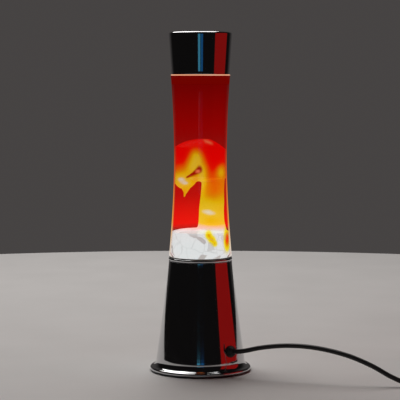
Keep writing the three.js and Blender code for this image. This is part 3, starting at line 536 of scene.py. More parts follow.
foot_inside = eased([(35.6, 139.4), (32.6, 135.4), (32.6, 119.4), (29.6, 116.4)], 1.4, 5)
outer_profile = np.vstack([[(0, 114.8)], foot_outside, body, neck_outside])
inner_profile = np.vstack([neck_inside, inside_body, foot_inside, [(0, 116.4)]])
bottle = turned("glass_bottle", np.vstack([outer_profile, inner_profile]), 224)
outer_wall = np.repeat([1.0, 0.0], [len(outer_profile) - 1, len(inner_profile) - 1]).repeat(224)


def marked(mesh, name, values):
    """Gives a mesh a number at each of its points, for its finish to read by name."""
    made = mesh.attributes.new(name, "FLOAT", "POINT")
    made.data.foreach_set("value", values.astype(np.float32))


marked(bottle.data, "outer_wall", np.concatenate([outer_wall, [1.0, 0.0]]))

clear_glass, tone, place = finish_of("clear_glass")
height = tone.part(place, 2)
across = tone.part(place, 0)
facing = tone.node("ShaderNodeLayerWeight", None, {"Blend": 0.5}, 1)
gloss = 0.014 + 0.7 * facing**6
ripples = tone.bump(tone.noise(tone.stretched(place, (1, 1, 0.35)), 60.0, 2.0), 0.03, 0.001)
seen_through = tone.node("ShaderNodeBsdfTransparent", None, {"Color": (0.985, 0.98, 0.975)})
mirror = tone.node("ShaderNodeBsdfGlossy", None, {"Roughness": 0.03, "Normal": ripples})
clear = tone.layered(gloss, seen_through, mirror)


def lit(tone, colour, strength):
    """Pure light of one colour, from a black, matt surface."""
    return tone.node("ShaderNodeBsdfPrincipled", None, {
        "Base Color": (0.0, 0.0, 0.0), "Roughness": 1.0, "Specular IOR Level": 0.0,
        "Emission Color": colour, "Emission Strength": strength,
    })


# Painted glow on the glass's outer edges: pale peach at the heel, then orange, then dark red higher up.
painted_edge_colour = tone.ramp((height - 0.137) / 0.21, [
    (0.0, (0.80, 0.72, 0.66)), (0.10, (0.85, 0.62, 0.40)), (0.19, (0.88, 0.36, 0.06)),
    (0.40, (0.80, 0.16, 0.02)), (0.62, (0.40, 0.012, 0.0)), (1.0, (0.09, 0.0, 0.0)),
])
edge_light = lit(tone, painted_edge_colour, 1.0)
outside = tone.mark("outer_wall")
edge_share = tone.step(facing, 0.62, 0.86) * tone.step(height, 0.130, 0.138, 0.0, 0.85) * outside
lit_edge = tone.layered(edge_share, clear, edge_light)
depth = tone.part(place, 1)
out_share = tone.step(across**2 + depth**2, 0.0336**2, 0.0342**2)
# Painted highlight: a thin light line round the outside of the shoulder, glowing peach and white.
rim_share = tone.step(height, 0.3492, 0.3495) * tone.step(height, 0.3507, 0.3504) * out_share
rim_colour = tone.blend(tone.noise(place, 35.0), (1.0, 0.30, 0.10), (1.0, 0.72, 0.52))
rim_light = lit(tone, rim_colour, 1.0)
# Painted glow: a dim red band of emission on the glass, from just under the liquid's top up into the neck.
painted_red_glow = lit(tone, (0.15, 0.001, 0.0), 1.0)
painted_red_glow_share = tone.step(height, 0.338, 0.3405) * tone.step(height, 0.372, 0.351, 0.0, 0.75)
with_painted_red_glow = tone.layered(painted_red_glow_share, lit_edge, painted_red_glow)
surface(tone, tone.layered(rim_share * 0.9, with_painted_red_glow, rim_light))
bottle.data.materials.append(clear_glass)
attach(bottle, "bottle")
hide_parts("bottle_glass")

# ----------------------------
# Liquid: clear water-thin fluid dyed red, which fills the bottle to just below the cap. Its glow is
# painted: an emission that is brightest at the wax and darkens upwards, standing in for the bulb's
# light from below.
liquid_top = 340.0
liquid_rise = np.linspace(141, liquid_top - 0.5, 70)
liquid_body = np.stack([body_radius(liquid_rise) - glass_wall - film, liquid_rise], -1)
liquid_foot = eased([(29.3, 116.7), (32.3, 119.7), (32.3, 135.4), (35.3, 139.4)], 1.4, 5)
meniscus = [(float(body_radius(liquid_top)) - glass_wall - film, liquid_top + 0.6),
            (float(body_radius(liquid_top)) - glass_wall - film - 0.8, liquid_top + 0.1),
            (24, liquid_top), (12, liquid_top), (0, liquid_top)]
liquid = turned("red_liquid", np.vstack([
    [(0, 116.7), (14, 116.7)], liquid_foot, liquid_body, meniscus,
]), 192)
dye_and_painted_glow, tone, place = finish_of("red_dye_and_painted_glow")
height = tone.part(place, 2)
swirl = tone.noise(tone.stretched(place, (1, 1, 0.5)), 24.0, 3.0)
level = (height + 0.004 * (swirl - 0.5) - 0.150) / 0.195
glow = tone.ramp(level, [
    (0.0, (0.90, 0.010, 0.001)), (0.12, (0.80, 0.004, 0.0)), (0.30, (0.38, 0.001, 0.0)),
    (0.45, (0.25, 0.001, 0.0)), (0.66, (0.155, 0.0, 0.0)), (1.0, (0.070, 0.0, 0.0)),
])
share = tone.ramp(level, [
    (0.0, (0.03, 0.03, 0.03)), (0.095, (0.05, 0.05, 0.05)), (0.118, (0.33, 0.33, 0.33)),
    (0.30, (0.42, 0.42, 0.42)), (0.62, (0.48, 0.48, 0.48)), (0.72, (0.76, 0.76, 0.76)),
    (1.0, (0.80, 0.80, 0.80)),
])
light = lit(tone, glow, 2.0)
through = tone.node("ShaderNodeBsdfTransparent", None, {"Color": (1.0, 0.50, 0.45)})
surface(tone, tone.layered(share, through, light))
liquid.data.materials.append(dye_and_painted_glow)
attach(liquid, "bottle")
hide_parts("liquid")

# ----------------------------
# Wax: molten paraffin. A mound over the bottle's floor feeds a stalk on the right, which opens
# into a dome that fills the bottle and droops to the left in a lobe with a drip. All its light is
# painted glow: an emission that stands in for the bulb's light through it.


def blob(name, middle, radii, lean=(0, 0), under=None):
    """A closed egg about a middle: each axis has its own radius, with another for the part under the
    middle, and x and y lean with height."""
    turn = bearings(48)
    rise = np.linspace(-math.pi / 2, math.pi / 2, 26)[1:-1, None]
    share = (under or radii[2]) / radii[2]
    lift = np.where(rise < 0, share, 1) * np.sin(rise)
    unit = np.stack([np.cos(rise) * np.cos(turn), np.cos(rise) * np.sin(turn), lift + 0 * turn], -1)
    shift = np.array([lean[0], lean[1], 0])
    points = (np.array(middle) + unit * radii + unit[..., 2:] * shift) * 0.001
    tips = np.array(middle) + np.array([[0, 0, -share * radii[2]], [0, 0, radii[2]]])
    return grid_mesh(name, points, False, True, list((tips + [-shift, shift]) * 0.001))


def upright_tube(name, line, radii):
    """Level rings of given radii whose middles follow a line that rises, closed at both ends."""
    line = np.asarray(line, float)
    turn = bearings(40)
    ring = np.stack([np.cos(turn), np.sin(turn), 0 * turn], -1)
    points = line[:, None] + np.asarray(radii, float)[:, None, None] * ring
    return grid_mesh(name, points * 0.001, False, True, (line[0] * 0.001, line[-1] * 0.001))


mound = turned("wax_mound", [(0, 117), (28, 117), (31, 120), (31, 135.5), (37.5, 139), (36.8, 150),
                             (36.2, 165.0), (26, 167.4), (10, 169.2), (0, 170.0)], 64)
stalk = upright_tube("wax_stalk", [(15, 0, 150), (13.6, 0, 166), (13.0, -1, 178), (13.0, -1, 193),
                                   (14.2, -1, 210), (15.0, -1, 225), (13.0, 0, 242), (10, 0, 255)],
                     [21, 17.5, 15.2, 14.6, 13.8, 13.4, 15.5, 17])
dome = blob("wax_dome", (3, 0, 246), (45, 41, 29), (0, 0), 21)
lobe = blob("wax_lobe", (-17.5, -2, 233), (15, 22, 17.5), (1.0, 0))
right_lobe = blob("wax_right_lobe", (19, 0, 240), (14, 22, 15))
drip = upright_tube("wax_drip", [(-19.2, -12, 206.5), (-19.2, -12, 207.6), (-18.6, -12, 210),
                                 (-17.6, -12, 212.5), (-17.4, -12, 216), (-16, -10, 222)],
                    [0.5, 1.7, 1.6, 2.4, 4.4, 8])
lumps = [mound, stalk, dome, lobe, right_lobe, drip]
with bpy.context.temp_override(active_object=mound, selected_editable_objects=lumps):
    bpy.ops.object.join()
wax = mound
wax.name = "molten_wax"
merge = wax.modifiers.new("merge", "REMESH")
merge.mode = "VOXEL"
merge.voxel_size = 0.0011
relax = wax.modifiers.new("relax", "SMOOTH")
relax.factor = 0.5
relax.iterations = 17


def applied(made):
    """Applies a made piece's modifiers, and hands back its new mesh."""
    now = made.evaluated_get(bpy.context.evaluated_depsgraph_get())
    mesh = bpy.data.meshes.new_from_object(now)
    made.modifiers.clear()
    made.data = mesh
    mesh.materials.clear()
    return mesh


merged = applied(wax)
flat = np.zeros(len(merged.vertices) * 3)
merged.vertices.foreach_get("co", flat)
points = flat.reshape(-1, 3) * 1000
# The cleft: the front sinks in along a short slanting wedge, by a share that falls off from it.
line_start, line_end = np.array([-15.5, 231.0]), np.array([-1.5, 240.5])
seen = points[:, [0, 2]]
wedge = line_end - line_start
along = np.clip((seen - line_start) @ wedge / np.sum(wedge**2), 0, 1)
off = np.linalg.norm(seen - (line_start + along[:, None] * wedge), axis=1)
dent = np.exp(-((off / (1.2 + 3.4 * along)) ** 4)) * (points[:, 1] < -5)
bud = np.exp(-np.sum(((seen - (-3.6, 238.4)) / (3.0, 1.9)) ** 4, axis=1))
cleft_depth = 4.0
points[:, 1] += cleft_depth * dent * (1 - 0.8 * bud)
# The dome's right side hangs lower than its left.
droop = 7.0
hang = np.clip((points[:, 0] - 10) / 20, 0, 1) ** 1.3 * np.clip((points[:, 2] - 238) / 26, 0, 1)
points[:, 2] -= droop * hang
# Slow ripples, then everything is kept a hair inside the liquid's skin.
ripple_share = 0.006
liquid_gap = 0.14
sway = (np.sin(points[:, 2] * 0.21 + points[:, 0] * 0.13)
        + np.sin(points[:, 0] * 0.31 + points[:, 1] * 0.27))
points[:, :2] *= (1 + ripple_share * sway)[:, None]
reach = np.hypot(points[:, 0], points[:, 1])
in_heel = np.interp(points[:, 2], [135.4, 139.4, 141], [31.9, 34.7, 35.2])
in_body = body_radius(np.maximum(points[:, 2], 141)) - glass_wall - film - liquid_gap
room_inside = np.where(points[:, 2] < 141, in_heel, in_body)
points[:, :2] *= np.minimum(1, room_inside / np.maximum(reach, 1e-6))[:, None]
merged.vertices.foreach_set("co", (points * 0.001).ravel())
# Painted glow: it falls with height, and soft patches, each a bell over x and z with its own reach
# and weight, add brighter and dimmer painted light.
painted_glow_patches = np.array([
    (-5, 256, 8, 10, 0.58), (-9, 243, 9, 9, 0.45), (-21, 229, 13, 11, 0.42), (-23, 228.5, 5, 2.6, 0.14),
    (-17, 224, 5, 2.4, 0.15), (3, 238, 6, 14, 0.35), (1, 222, 5, 14, 0.20), (24, 238, 6, 9, 0.40),
    (17, 252, 9, 12, -0.16), (-22, 256, 6, 9, -0.10), (17, 214, 9, 14, -0.14), (13, 198, 14, 8, 0.10),
    (7, 190.5, 7, 3.0, 0.14), (13, 188, 7, 3, 0.14), (12, 179, 10, 4.4, -0.14), (9.5, 164, 3.6, 4.0, -0.48),
    (13.5, 158.5, 4.0, 4.2, -0.46), (17, 153.5, 3.0, 3.2, -0.40), (31.5, 157, 3.4, 11, -0.82),
])
x, z = points[:, :1], points[:, 2:]
off_x = (x - painted_glow_patches[:, 0]) / painted_glow_patches[:, 2]
off_z = (z - painted_glow_patches[:, 1]) / painted_glow_patches[:, 3]
bells = np.exp(-(off_x**2) - off_z**2)
fall = np.interp(points[:, 2], [150, 168, 176, 200, 222, 240, 262],
                 [1.04, 1.0, 0.80, 0.62, 0.46, 0.22, 0.02])
marked(merged, "wax_warmth", fall + bells @ painted_glow_patches[:, 4])
# The dent also marks where the wax is darkened: painted shade in the cleft.
marked(merged, "cleft", dent)
# The bud of wax in the cleft and a short streak along the dome's crest are paler than the rest:
# painted highlights in salmon.
streak_z = 273.6 - 0.34 * (points[:, 0] - 4)
crest_painted_highlight = np.exp(-(((points[:, 0] - 9) / 5) ** 4) - ((points[:, 2] - streak_z) / 1.6) ** 2)
marked(merged, "bud", np.maximum(bud * dent, 0.7 * crest_painted_highlight))
merged.shade_smooth()
merged.update()

paraffin, tone, place = finish_of("molten_paraffin")
height = tone.part(place, 2)
drift = tone.noise(tone.stretched(place, (1, 1, 0.7)), 38.0, 3.0)
fine = tone.noise(place, 120.0, 3.0)
# Painted glow: this mark runs the wax's emission from deep red through orange and yellow to white.
painted_glow_mark = tone.mark("wax_warmth")
painted_glow_level = painted_glow_mark + 0.16 * (drift - 0.5) + 0.05 * (fine - 0.5)
glowing = tone.ramp(painted_glow_level, [
    (0.0, (0.88, 0.0, 0.0)), (0.18, (0.88, 0.010, 0.0)), (0.34, (0.82, 0.15, 0.001)),
    (0.50, (0.74, 0.36, 0.002)), (0.64, (0.80, 0.64, 0.004)), (0.80, (0.80, 0.74, 0.04)),
    (0.90, (0.72, 0.76, 0.52)), (1.0, (0.70, 0.80, 0.82)),
])
# Painted glow: where it is brightest, low on the stalk, the wax turns pale, nearly white.
painted_white_glow = tone.step(painted_glow_level, 0.78, 1.06) * tone.step(height, 0.172, 0.190)
glowing = tone.blend(painted_white_glow * 0.85, glowing, (0.62, 1.10, 0.78))
# Painted shade: the wax turns deep red in the cleft.
cleft_painted_shade = tone.mark("cleft")
glowing = tone.blend(cleft_painted_shade, glowing, (0.16, 0.002, 0.001))
# Painted highlight: the bud and the crest's streak turn salmon.
painted_highlight_share = tone.mark("bud")
glowing = tone.blend(painted_highlight_share, glowing, (0.90, 0.26, 0.10))
kinked = tone.node("ShaderNodeVectorMath", {"operation": "MULTIPLY_ADD"}, {
    0: tone.node("ShaderNodeTexNoise", None, {"Vector": place, "Scale": 60.0}, 1),
    1: (0.012, 0.012, 0.012), 2: place,
})
chips = tone.node("ShaderNodeTexVoronoi", {"feature": "F1"}, {"Vector": kinked, "Scale": 105.0}, 1)
creases = tone.node("ShaderNodeTexVoronoi", {"feature": "DISTANCE_TO_EDGE"},
                    {"Vector": kinked, "Scale": 62.0})
chipped = tone.step(tone.part(chips, 0), 0.80, 0.83, 0.0, 0.60)
shade = tone.sum("MAXIMUM", chipped, tone.step(creases, 0.04, 0.0, 0.0, 0.28))
glowing = tone.blend(shade * tone.step(height, 0.172, 0.160), glowing, (0.28, 0.28, 0.26))
# The dye takes half of the green and more of the blue on the way out, so they start out brighter.
deep = tone.step(height, 0.168, 0.180) * tone.step(height, 0.218, 0.200)
undyed = tone.blend(deep, (0.5, 1.0, 1.1), (0.36, 1.12, 1.1))
glowing = tone.node("ShaderNodeVectorMath", {"operation": "MULTIPLY"}, {0: glowing, 1: undyed})
skin = tone.bump(fine, 0.2, 0.001)
# Painted glow: the wax's emission carries all its colour and light, and its base colour is a quarter of it.
painted(tone, {
    "Base Color": tone.blend(0.75, glowing, (0.0, 0.0, 0.0)),
    "Roughness": 0.35 + 0.1 * fine,
    "Normal": skin,
    "Emission Color": glowing,
    "Emission Strength": 2.0,
})
wax.data.materials.append(paraffin)
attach(wax, "bottle")
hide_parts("wax")

# ----------------------------
# Cap: a cup spun from sheet, widening upwards, with a rounded corner round its flat lid. Chrome
# plated like the base.
cap = turned("chrome_cap", np.vstack([
    [(0, 398.8), (34.3, 398.8), (35.8, 397.2), (32.9, 350.9), (33.3, 350.7), (34.0, 350.9)],
    np.stack([np.linspace(34.12, 37.25, 16), np.linspace(351.6, 397.0, 16)], -1),
    arc((35.1, 397.8), 2.2, 0, 90, 10), [(24, 400), (12, 400), (4, 400), (0, 400)],
]), 256)
cap.data.materials.append(chrome)
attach(cap, "cap")
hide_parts("cap_shell")


# ----------------------------
# Felt liner: a thin black felt ring glued inside the cap's skirt, which keeps the chrome off the
# glass. Its fibres stand up a little.


def finished(finish, *names):
    """Gives a finish to CAD pieces whose shape stays."""
    for name in names:
        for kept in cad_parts[name].material_slots:
            kept.material = finish


felt, tone, place = finish_of("black_felt")
fibres = tone.noise(tone.stretched(place, (1, 1, 0.4)), 2200.0, 4.0, 0.7)
felt_bump = tone.bump(fibres, 0.6, 0.0004)
painted(tone, {
    "Base Color": tone.blend(fibres, (0.018, 0.018, 0.018), (0.085, 0.083, 0.080)),
    "Roughness": 0.85 + 0.1 * fibres,
    "Sheen Weight": 0.4,
    "Normal": felt_bump,
})
finished(felt, "cap_liner")

# ----------------------------
# Crown closure: a tinplate crown pressed over the bottle's finish, with 21 flutes round its skirt
# and a rubber liner under it.


def metal(name, dull, bright, roughness, scale, streak=(1, 1, 1)):
    """A bare or plated metal: its colour and roughness vary between two by a stretched noise."""
    made, tone, place = finish_of(name)
    wear = tone.noise(tone.stretched(place, streak), scale, 5.0, 0.6)
    scuffs = tone.noise(place, scale * 7, 2.0)
    bump = tone.bump(wear + 0.5 * scuffs, 0.12)
    painted(tone, {
        "Base Color": tone.blend(wear, dull, bright),
        "Metallic": 1.0,
        "Roughness": roughness + 0.2 * wear + 0.08 * scuffs,
        "Normal": bump,
    })
    return made


zinc = metal("bright_zinc", (0.42, 0.43, 0.45), (0.68, 0.68, 0.69), 0.22, 90.0)
flutes = 21
flute_depth = 0.026
skirt_top = 386.2
skirt_height = 4.5
crown = turned("crown_closure_fluted", eased([
    (0, 387.4), (12.9, 387.4), (13.7, 385.6), (13.8, 381.6), (15.3, 380.8), (15.6, 381.3),
    (14.3, 382.2), (14.1, 385.9), (12.8, 387.8), (0, 387.8),
], (0, 0.6, 0.6, 0.4, 0.2, 0.2, 0.5, 0.6, 1.0, 0), 5), 252)


def fluted(points):
    """Pinches the skirt: the radius shrinks by the cosine of the bearing times the number of flutes,
    more and more down the skirt."""
    skirt = np.clip((skirt_top - points[:, 2] * 1000) / skirt_height, 0, 1)
    bearing = np.arctan2(points[:, 1], points[:, 0])
    pinch = 1 - flute_depth * skirt * (0.5 + 0.5 * np.cos(flutes * bearing))
    return points * np.stack([pinch, pinch, np.ones(len(points))], -1)


moved(crown, fluted)
crown.data.materials.append(zinc)
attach(crown, "bottle")
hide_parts("crown_closure")
finished(rubber, "crown_liner")

# ----------------------------
# Heat spring: a steel wire coil laid in a ring on the bottle's floor, under the wax. It gathers
# the bulb's heat and breaks up the wax as it melts.
spring_turns = 64
spring_ring = 24.0
spring_coil = 1.7
spring_height = 119.2
wire_radius = 0.42
ring_turn = np.linspace(0, 2 * math.pi, 1500)
coil_phase = spring_turns * ring_turn
ring_radius = spring_ring + spring_coil * np.cos(coil_phase)
spring_line = np.stack([ring_radius * np.cos(ring_turn), ring_radius * np.sin(ring_turn),
                        spring_height + spring_coil * np.sin(coil_phase)], -1) * 0.001
spring = tube("heat_spring_wire", spring_line, wire_radius * 0.001, 6)
spring.data.materials.append(zinc)
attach(spring, "bottle")
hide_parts("heat_spring")

# ----------------------------
# Seat: a black moulded ring that drops into the base's mouth. The bottle's heel stands on its
# ledge, and its thin lip covers the chrome bead's inner edge.
satin, tone, place = finish_of("satin_black_plastic")
mottle = tone.noise(place, 45.0, 4.0)
pebble = tone.node("ShaderNodeTexVoronoi", {"feature": "F1"}, {"Vector": place, "Scale": 2200.0})
satin_bump = tone.bump(pebble + 0.5 * mottle, 0.10)
painted(tone, {
    "Base Color": tone.blend(mottle, (0.012, 0.012, 0.013), (0.028, 0.028, 0.030)),
    "Roughness": 0.30 + 0.14 * mottle + 0.06 * pebble,
    "Specular IOR Level": 0.5,
    "Normal": satin_bump,
})
seat = turned("bottle_seat_ring", eased([
    (31, 110.5), (35.8, 110.5), (35.8, 135.5), (36.8, 135.5), (36.8, 136.1), (34.8, 136.1),
    (34.8, 112.1), (27, 112.1), (27, 110.5), (30.9, 110.5),
], (0, 0.5, 0.2, 0.15, 0.25, 0.25, 0.8, 0.4, 0.4, 0), 4), 192)
seat.data.materials.append(satin)
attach(seat, "base")
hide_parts("bottle_seat")

# ----------------------------
# Base plate: a pressed steel disc with eight vent slots, enamelled black, held to the shell's tabs
# by three pan-head screws.
enamel, tone, place = finish_of("black_enamel")
peel = tone.noise(place, 700.0, 2.0)
rubbed = tone.noise(place, 30.0, 5.0, 0.6)
enamel_bump = tone.bump(peel, 0.15, 0.0003)
painted(tone, {
    "Base Color": tone.blend(rubbed, (0.014, 0.014, 0.015), (0.045, 0.044, 0.043)),
    "Roughness": 0.26 + 0.25 * rubbed,
    "Coat Weight": 0.3 + 0.2 * peel,
    "Normal": enamel_bump,
})
finished(enamel, "base_plate")

head_radius = 2.8
cross_half_width = 0.42
cross_reach = 1.9
cross_depth = 0.8


def recessed_head(name, node):
    """A pan-head screw where a CAD screw stands: a domed head under a shank, with a cross sunk into
    the head where either of two crossed bars lies over it."""
    low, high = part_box(node)
    tall = (high.z - low.z) * 1000
    span = np.linspace(0, 1, 22)[1:]
    dome = np.stack([head_radius * span, -0.55 + 0.9 * span**3], -1)
    shank = [(head_radius, 1.0), (2.7, 1.25), (1.5, 1.3), (1.5, tall - 1.6), (1.0, tall - 1.0),
             (0, tall - 1.0)]
    made = turned(name, np.vstack([[(0, -0.55)], dome, shank]), 96)
    foot = ((low.x + high.x) / 2, (low.y + high.y) / 2, low.z + 0.00055)

    def crossed(points):
        across = np.minimum(abs(points[:, 0]), abs(points[:, 1])) * 1000
        reach = np.hypot(points[:, 0], points[:, 1]) * 1000
        sunk = (across < cross_half_width) & (reach < cross_reach) & (points[:, 2] < 0.0004)
        return points + np.outer(0.001 * cross_depth * sunk, [0, 0, 1]) + foot

    moved(made, crossed)
    made.data.materials.append(zinc)
    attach(made, "base")
    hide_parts(node)


for screw in ("plate_screw_1", "plate_screw_2", "plate_screw_3", "bracket_screw_1", "bracket_screw_2"):
    recessed_head(f"{screw}_head", screw)

# ----------------------------
# Feet: four soft rubber pads stuck under the plate, with a rounded rim and a shallow cup.
for number in (1, 2, 3, 4):
    low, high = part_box(f"foot_{number}")
    pad = turned(f"rubber_foot_{number}", eased([
        (0, 0.5), (3.4, 0.4), (4.3, 0), (5.4, 0), (6.0, 0.7), (5.8, 1.9), (0, 1.9),
    ], (0, 1, 0.5, 0.5, 0.5, 0.2, 0), 5), 64)
    middle = ((low.x + high.x) / 2, (low.y + high.y) / 2, low.z)
    moved(pad, lambda points: points + middle)
    pad.data.materials.append(rubber)
    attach(pad, "base")
    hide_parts(f"foot_{number}")

# ----------------------------
# Lampholder on its bracket: a zinc-plated strip bridges the plate, and a brass tube and nut hold
# the black moulded holder on it. Inside are a brass thread and a centre contact.
brass = metal("bright_brass", (0.50, 0.34, 0.12), (0.80, 0.60, 0.26), 0.18, 120.0)
aluminium = metal("drawn_aluminium", (0.55, 0.56, 0.58), (0.76, 0.77, 0.78), 0.20, 140.0, (1, 1, 0.2))
finished(zinc, "holder_bracket", "bulb_tip")
finished(brass, "nipple_nut", "holder_nipple", "centre_contact")
holder = turned("lampholder_body", np.vstack([
    eased([(0, 25.3), (5.3, 25.3), (5.3, 20.5), (12.0, 20.5), (13.5, 22.0)], (0, 0.3, 0.3, 1, 0), 4),
    np.stack([13.28 + 0.22 * np.cos(np.linspace(0, 24 * math.pi, 97)), np.linspace(23, 54, 97)], -1),
    eased([(13.5, 55.0), (13.5, 57.0), (12.5, 58.0), (9.9, 58.0), (8.4, 55.5), (8.4, 29.0), (0, 29.0)],
          (0, 0.6, 0.6, 0.8, 0.6, 0.4, 0), 4),
]), 96)
holder.data.materials.append(satin)
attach(holder, "base")
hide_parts("lampholder")


def threaded(name, low, high, outer, inner, pitch, depth, starts_at):
    """A thin threaded sleeve: both of its faces ripple by the cosine of height over pitch less the
    bearing, so the ripple climbs one pitch a turn."""
    rows = int((high - low) / pitch * 14)
    rise = np.linspace(low, high, rows)[:, None]
    turn = bearings(72)[None]
    wave = depth * (0.5 + 0.5 * np.cos(2 * math.pi * (rise - starts_at) / pitch - turn))
    faces = [
        np.stack([(radius - wave) * np.cos(turn), (radius - wave) * np.sin(turn), rise + 0 * turn], -1)
        for radius in (outer, inner)
    ]
    return grid_mesh(name, np.vstack([faces[0], faces[1][::-1]]) * 0.001, True, True)


thread_pitch = 2.82
thread_start = 33.0
shell_low, shell_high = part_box("thread_shell")
sleeve = threaded("thread_sleeve", shell_low.z * 1000, shell_high.z * 1000, 8.1, 7.75, thread_pitch,
                  0.45, thread_start)
sleeve.data.materials.append(brass)
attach(sleeve, "base")
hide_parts("thread_shell")

# ----------------------------
# Wiring: the sheathed flex ends inside the gland, and its blue and brown cores run to the
# holder's terminals.
finished(sheath, "inner_flex")
for node, deep, light_tint in (("wire_neutral", (0.012, 0.05, 0.22), (0.03, 0.11, 0.38)),
                               ("wire_live", (0.055, 0.020, 0.008), (0.13, 0.055, 0.022))):
    core, tone, place = finish_of(f"{node}_pvc")
    drag = tone.noise(place, 400.0, 3.0)
    core_bump = tone.bump(drag, 0.1)
    painted(tone, {
        "Base Color": tone.blend(drag, deep, light_tint),
        "Roughness": 0.38 + 0.15 * drag,
        "Normal": core_bump,
    })
    finished(core, node)

# ----------------------------
# Bulb: a 39 mm reflector with a 14 mm screw cap. Its neck is silvered inside, its face is lightly
# frosted, and its warm light shines up into the bottle's floor.
bulb_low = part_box("bulb_tip")[0].z * 1000
outside = eased([(6.1, 19), (6.1, 27.6), (8.2, 31), (13, 39), (17.6, 48), (19.5, 55), (19.5, 58.2),
                 (17, 63), (11, 65.3), (0, 66)], (0, 1, 2, 4, 5, 3, 2, 3, 4, 0), 7)
inside = eased([(0, 65.2), (10.6, 64.5), (16.2, 62.3), (18.7, 58.0), (18.7, 55.2), (16.8, 48.2),
                (12.2, 39.3), (7.4, 31.3), (5.3, 27.8), (5.3, 19)], (0, 4, 3, 2, 3, 5, 4, 2, 1, 0), 7)
bulb = turned("reflector_bulb", (np.vstack([inside, outside]) + (0, bulb_low)), 128)
envelope, tone, place = finish_of("silvered_glass")
height = tone.part(place, 2)
frost = tone.noise(place, 500.0, 3.0)
silver = tone.step(height, 0.0895, 0.0870)
silver_colour = tone.blend(frost, (0.78, 0.79, 0.80), (0.88, 0.88, 0.88))
painted(tone, {
    "Base Color": tone.blend(silver, (0.95, 0.90, 0.80), silver_colour),
    "Metallic": silver,
    "Roughness": 0.12 + 0.3 * (1 - silver) + 0.1 * frost,
    "Alpha": 0.55 + 0.45 * silver,
    "Emission Color": tone.blend(silver, (1.0, 0.72, 0.38), (0.0, 0.0, 0.0)),
    "Emission Strength": 1.2,
})
bulb.data.materials.append(envelope)
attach(bulb, "bulb")
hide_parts("bulb_glass")

cap_low, cap_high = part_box("bulb_cap")
screw_cap = threaded("bulb_screw_cap", cap_low.z * 1000, cap_high.z * 1000, 6.95, 6.75, thread_pitch,
                     0.35, thread_start)
screw_cap.data.materials.append(aluminium)
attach(screw_cap, "bulb")
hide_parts("bulb_cap")

stem_glass, tone, place = finish_of("stem_glass")
seeds = tone.noise(place, 600.0, 2.0)
painted(tone, {
    "Base Color": tone.blend(seeds, (0.80, 0.84, 0.84), (0.92, 0.94, 0.94)),
    "Roughness": 0.05 + 0.1 * seeds,
    "Alpha": 0.35 + 0.1 * seeds,
})
finished(stem_glass, "bulb_stem")
hot_wire, tone, place = finish_of("hot_tungsten")
twist = tone.noise(tone.stretched(place, (1, 1, 4)), 900.0, 2.0)
painted(tone, {
    "Base Color": tone.blend(twist, (0.3, 0.25, 0.2), (0.6, 0.5, 0.4)),
    "Metallic": 1.0,
    "Roughness": 0.4 + 0.2 * twist,
    "Emission Color": tone.blend(twist, (1.0, 0.55, 0.20), (1.0, 0.72, 0.35)),
    "Emission Strength": 3.0,
})
finished(hot_wire, "bulb_filament")
finished(satin, "bulb_insulator")

# ----------------------------
# Inline switch: two moulded halves screwed together round the cord, with a rocker in the upper.


def squared(turn, power):
    """A superellipse's cosine and sine: each keeps its sign, and its size goes to 2 over the power."""
    c, s = np.cos(turn), np.sin(turn)
    return np.sign(c) * abs(c) ** (2 / power), np.sign(s) * abs(s) ** (2 / power)


def moulded(name, middle, half_sizes, profile, power=5.0):
    """A soft block: level superellipses, where x over its half width and y over its half length,
    each to a power, add to 1. A profile of (inset, height) draws each one in by its inset."""
    profile = np.asarray(profile, float)
    outline = np.stack(squared(bearings(96), power), -1)
    size = np.array(half_sizes) - profile[:, :1]
    points = np.zeros((len(profile), len(outline), 3))
    points[..., :2] = outline * size[:, None] + middle
    points[..., 2] = profile[:, 1:]
    ends = [np.array([*middle, profile[row, 1]]) * 0.001 for row in (0, -1)]
    return grid_mesh(name, points * 0.001, False, True, ends)


switch_middle = (332.0, -38.5)
switch_size = (11.0, 31.0)
lower_half = moulded("switch_lower_half", switch_middle, switch_size, np.vstack([
    [(9.5, 0.0), (5.0, 0.0)], arc((2.6, 2.6), 2.6, 270, 180, 7), [(0.0, 7.2), (0.25, 7.75), (9.5, 7.75)],
]))
upper_half = moulded("switch_upper_half", switch_middle, switch_size, np.vstack([
    [(9.5, 8.05), (0.25, 8.05), (0.0, 8.6), (0.0, 11.4)], arc((4.6, 11.4), 4.6, 180, 90, 10),
    [(9.5, 16.0)],
]))
window = moulded("switch_window", switch_middle, (5.5, 8.7),
                 [(5.3, 9.6), (0, 9.6), (0, 17.5), (5.3, 17.5)], 9.0)
cut = upper_half.modifiers.new("window", "BOOLEAN")
cut.operation = "DIFFERENCE"
cut.solver = "EXACT"
cut.object = window
applied(upper_half).set_sharp_from_angle(angle=math.radians(40))
bpy.data.objects.remove(window)
switch_halves = [lower_half, upper_half]
for half, node in zip(switch_halves, ("switch_lower", "switch_upper")):
    half.data.materials.append(satin)
    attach(half, "base")
    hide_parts(node)
finished(satin, "switch_rocker")

# ----------------------------
# Plug: a flat two-pin mains plug moulded onto the cord, with a ribbed nose that relieves the cord
# and two round pins with sleeved roots.
plug_x, plug_z = 257.2, 6.85
nose_run = np.linspace(4.2, -7.4, 30)
nose_size = np.interp(nose_run, [-7.5, 4.2], [5.2, 3.5]) - 0.35 * (np.sin(nose_run * 2.4) > 0.35)
body_run = np.array([-7.6, -8.0, -8.8, -10.5, -13, -17, -22, -26, -29.5, -33, -37, -39.4, -40.2, -40.5])
body_wide = np.array([6.6, 8.0, 9.2, 10.2, 11.2, 13.2, 15.6, 17.0, 17.6, 17.65, 17.65, 17.5, 16.9, 15.9])
body_thick = np.array([5.6, 6.1, 6.5, 6.8, 6.85, 6.85, 6.85, 6.85, 6.85, 6.85, 6.85, 6.7, 6.2, 5.4])
run = np.concatenate([nose_run, body_run])
wide = np.concatenate([nose_size, body_wide])
thick = np.concatenate([nose_size, body_thick])
squareness = np.concatenate([np.full(30, 2.0), np.linspace(2.6, 4.2, len(body_run))])[:, None]
turn = bearings(72)[None]
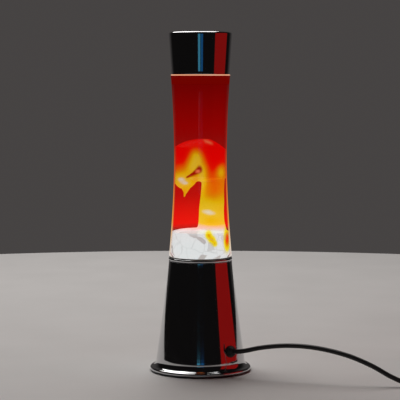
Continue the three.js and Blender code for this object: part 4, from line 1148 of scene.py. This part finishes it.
# Each section is a superellipse across the plug's length, squarer in the body than in the nose.
c, s = squared(turn, squareness)
plug_points = np.stack([
    plug_x + wide[:, None] * c, run[:, None] + 0 * turn, plug_z + thick[:, None] * s,
], -1) * 0.001
plug_ends = [np.array([plug_x, run[row], plug_z]) * 0.001 for row in (0, -1)]
plug = grid_mesh("flat_plug", plug_points, False, True, plug_ends)
plug.data.materials.append(satin)
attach(plug, "base")
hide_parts("plug_body")

pin_metal, tone, place = finish_of("plated_pin")
along_pin = tone.part(place, 1)
rub = tone.noise(tone.stretched(place, (1, 0.15, 1)), 700.0, 3.0)
sleeve_share = tone.step(along_pin, -0.0505, -0.0503)
painted(tone, {
    "Base Color": tone.blend(sleeve_share, tone.blend(rub, (0.55, 0.54, 0.50), (0.74, 0.73, 0.70)),
                             (0.018, 0.018, 0.019)),
    "Metallic": 1 - sleeve_share,
    "Roughness": 0.20 + 0.15 * rub + 0.15 * sleeve_share,
})
for number in (1, 2):
    low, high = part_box(f"plug_pin_{number}")
    centre = (low + high) / 2
    pin = turned(f"round_pin_{number}", eased([
        (0, 40.6), (2.0, 40.6), (2.0, 50.3), (1.96, 50.5), (1.96, 58.0), (1.1, 59.5), (0, 59.5),
    ], (0, 0.1, 0.05, 0.05, 1.2, 0.8, 0), 6), 48)
    moved(pin, lambda points: np.stack([
        points[:, 0] + centre.x, -points[:, 2], points[:, 1] + centre.z,
    ], -1))
    pin.data.materials.append(pin_metal)
    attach(pin, "base")
    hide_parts(f"plug_pin_{number}")

# ----------------------------
# Tie: a soft rubber strap closed round the spare cord's coil.
tie_middle = (294.6, 67.0, 6.3)
tie_half_size = (8.4, 6.0)
tie_turn = bearings(120)[:, None]
section = np.array([(-2.5, 0.05), (-2.3, -0.2), (0, -0.27), (2.3, -0.2), (2.5, 0.05), (2.3, 0.25),
                    (0, 0.3), (-2.3, 0.25)])
loop_power = 6.0
reach_y = tie_half_size[0] + section[None, :, 1]
reach_z = tie_half_size[1] + section[None, :, 1]
# The strap's loop is a superellipse round the bundle, and its section is a thin lens.
c, s = squared(tie_turn, loop_power)
tie_points = np.stack([
    tie_middle[0] + section[None, :, 0] + 0 * tie_turn,
    tie_middle[1] + reach_y * c,
    tie_middle[2] + reach_z * s,
], -1) * 0.001
tie = grid_mesh("coil_tie", tie_points, True, True)
tie.data.materials.append(rubber)
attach(tie, "base")
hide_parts("cord_tie")
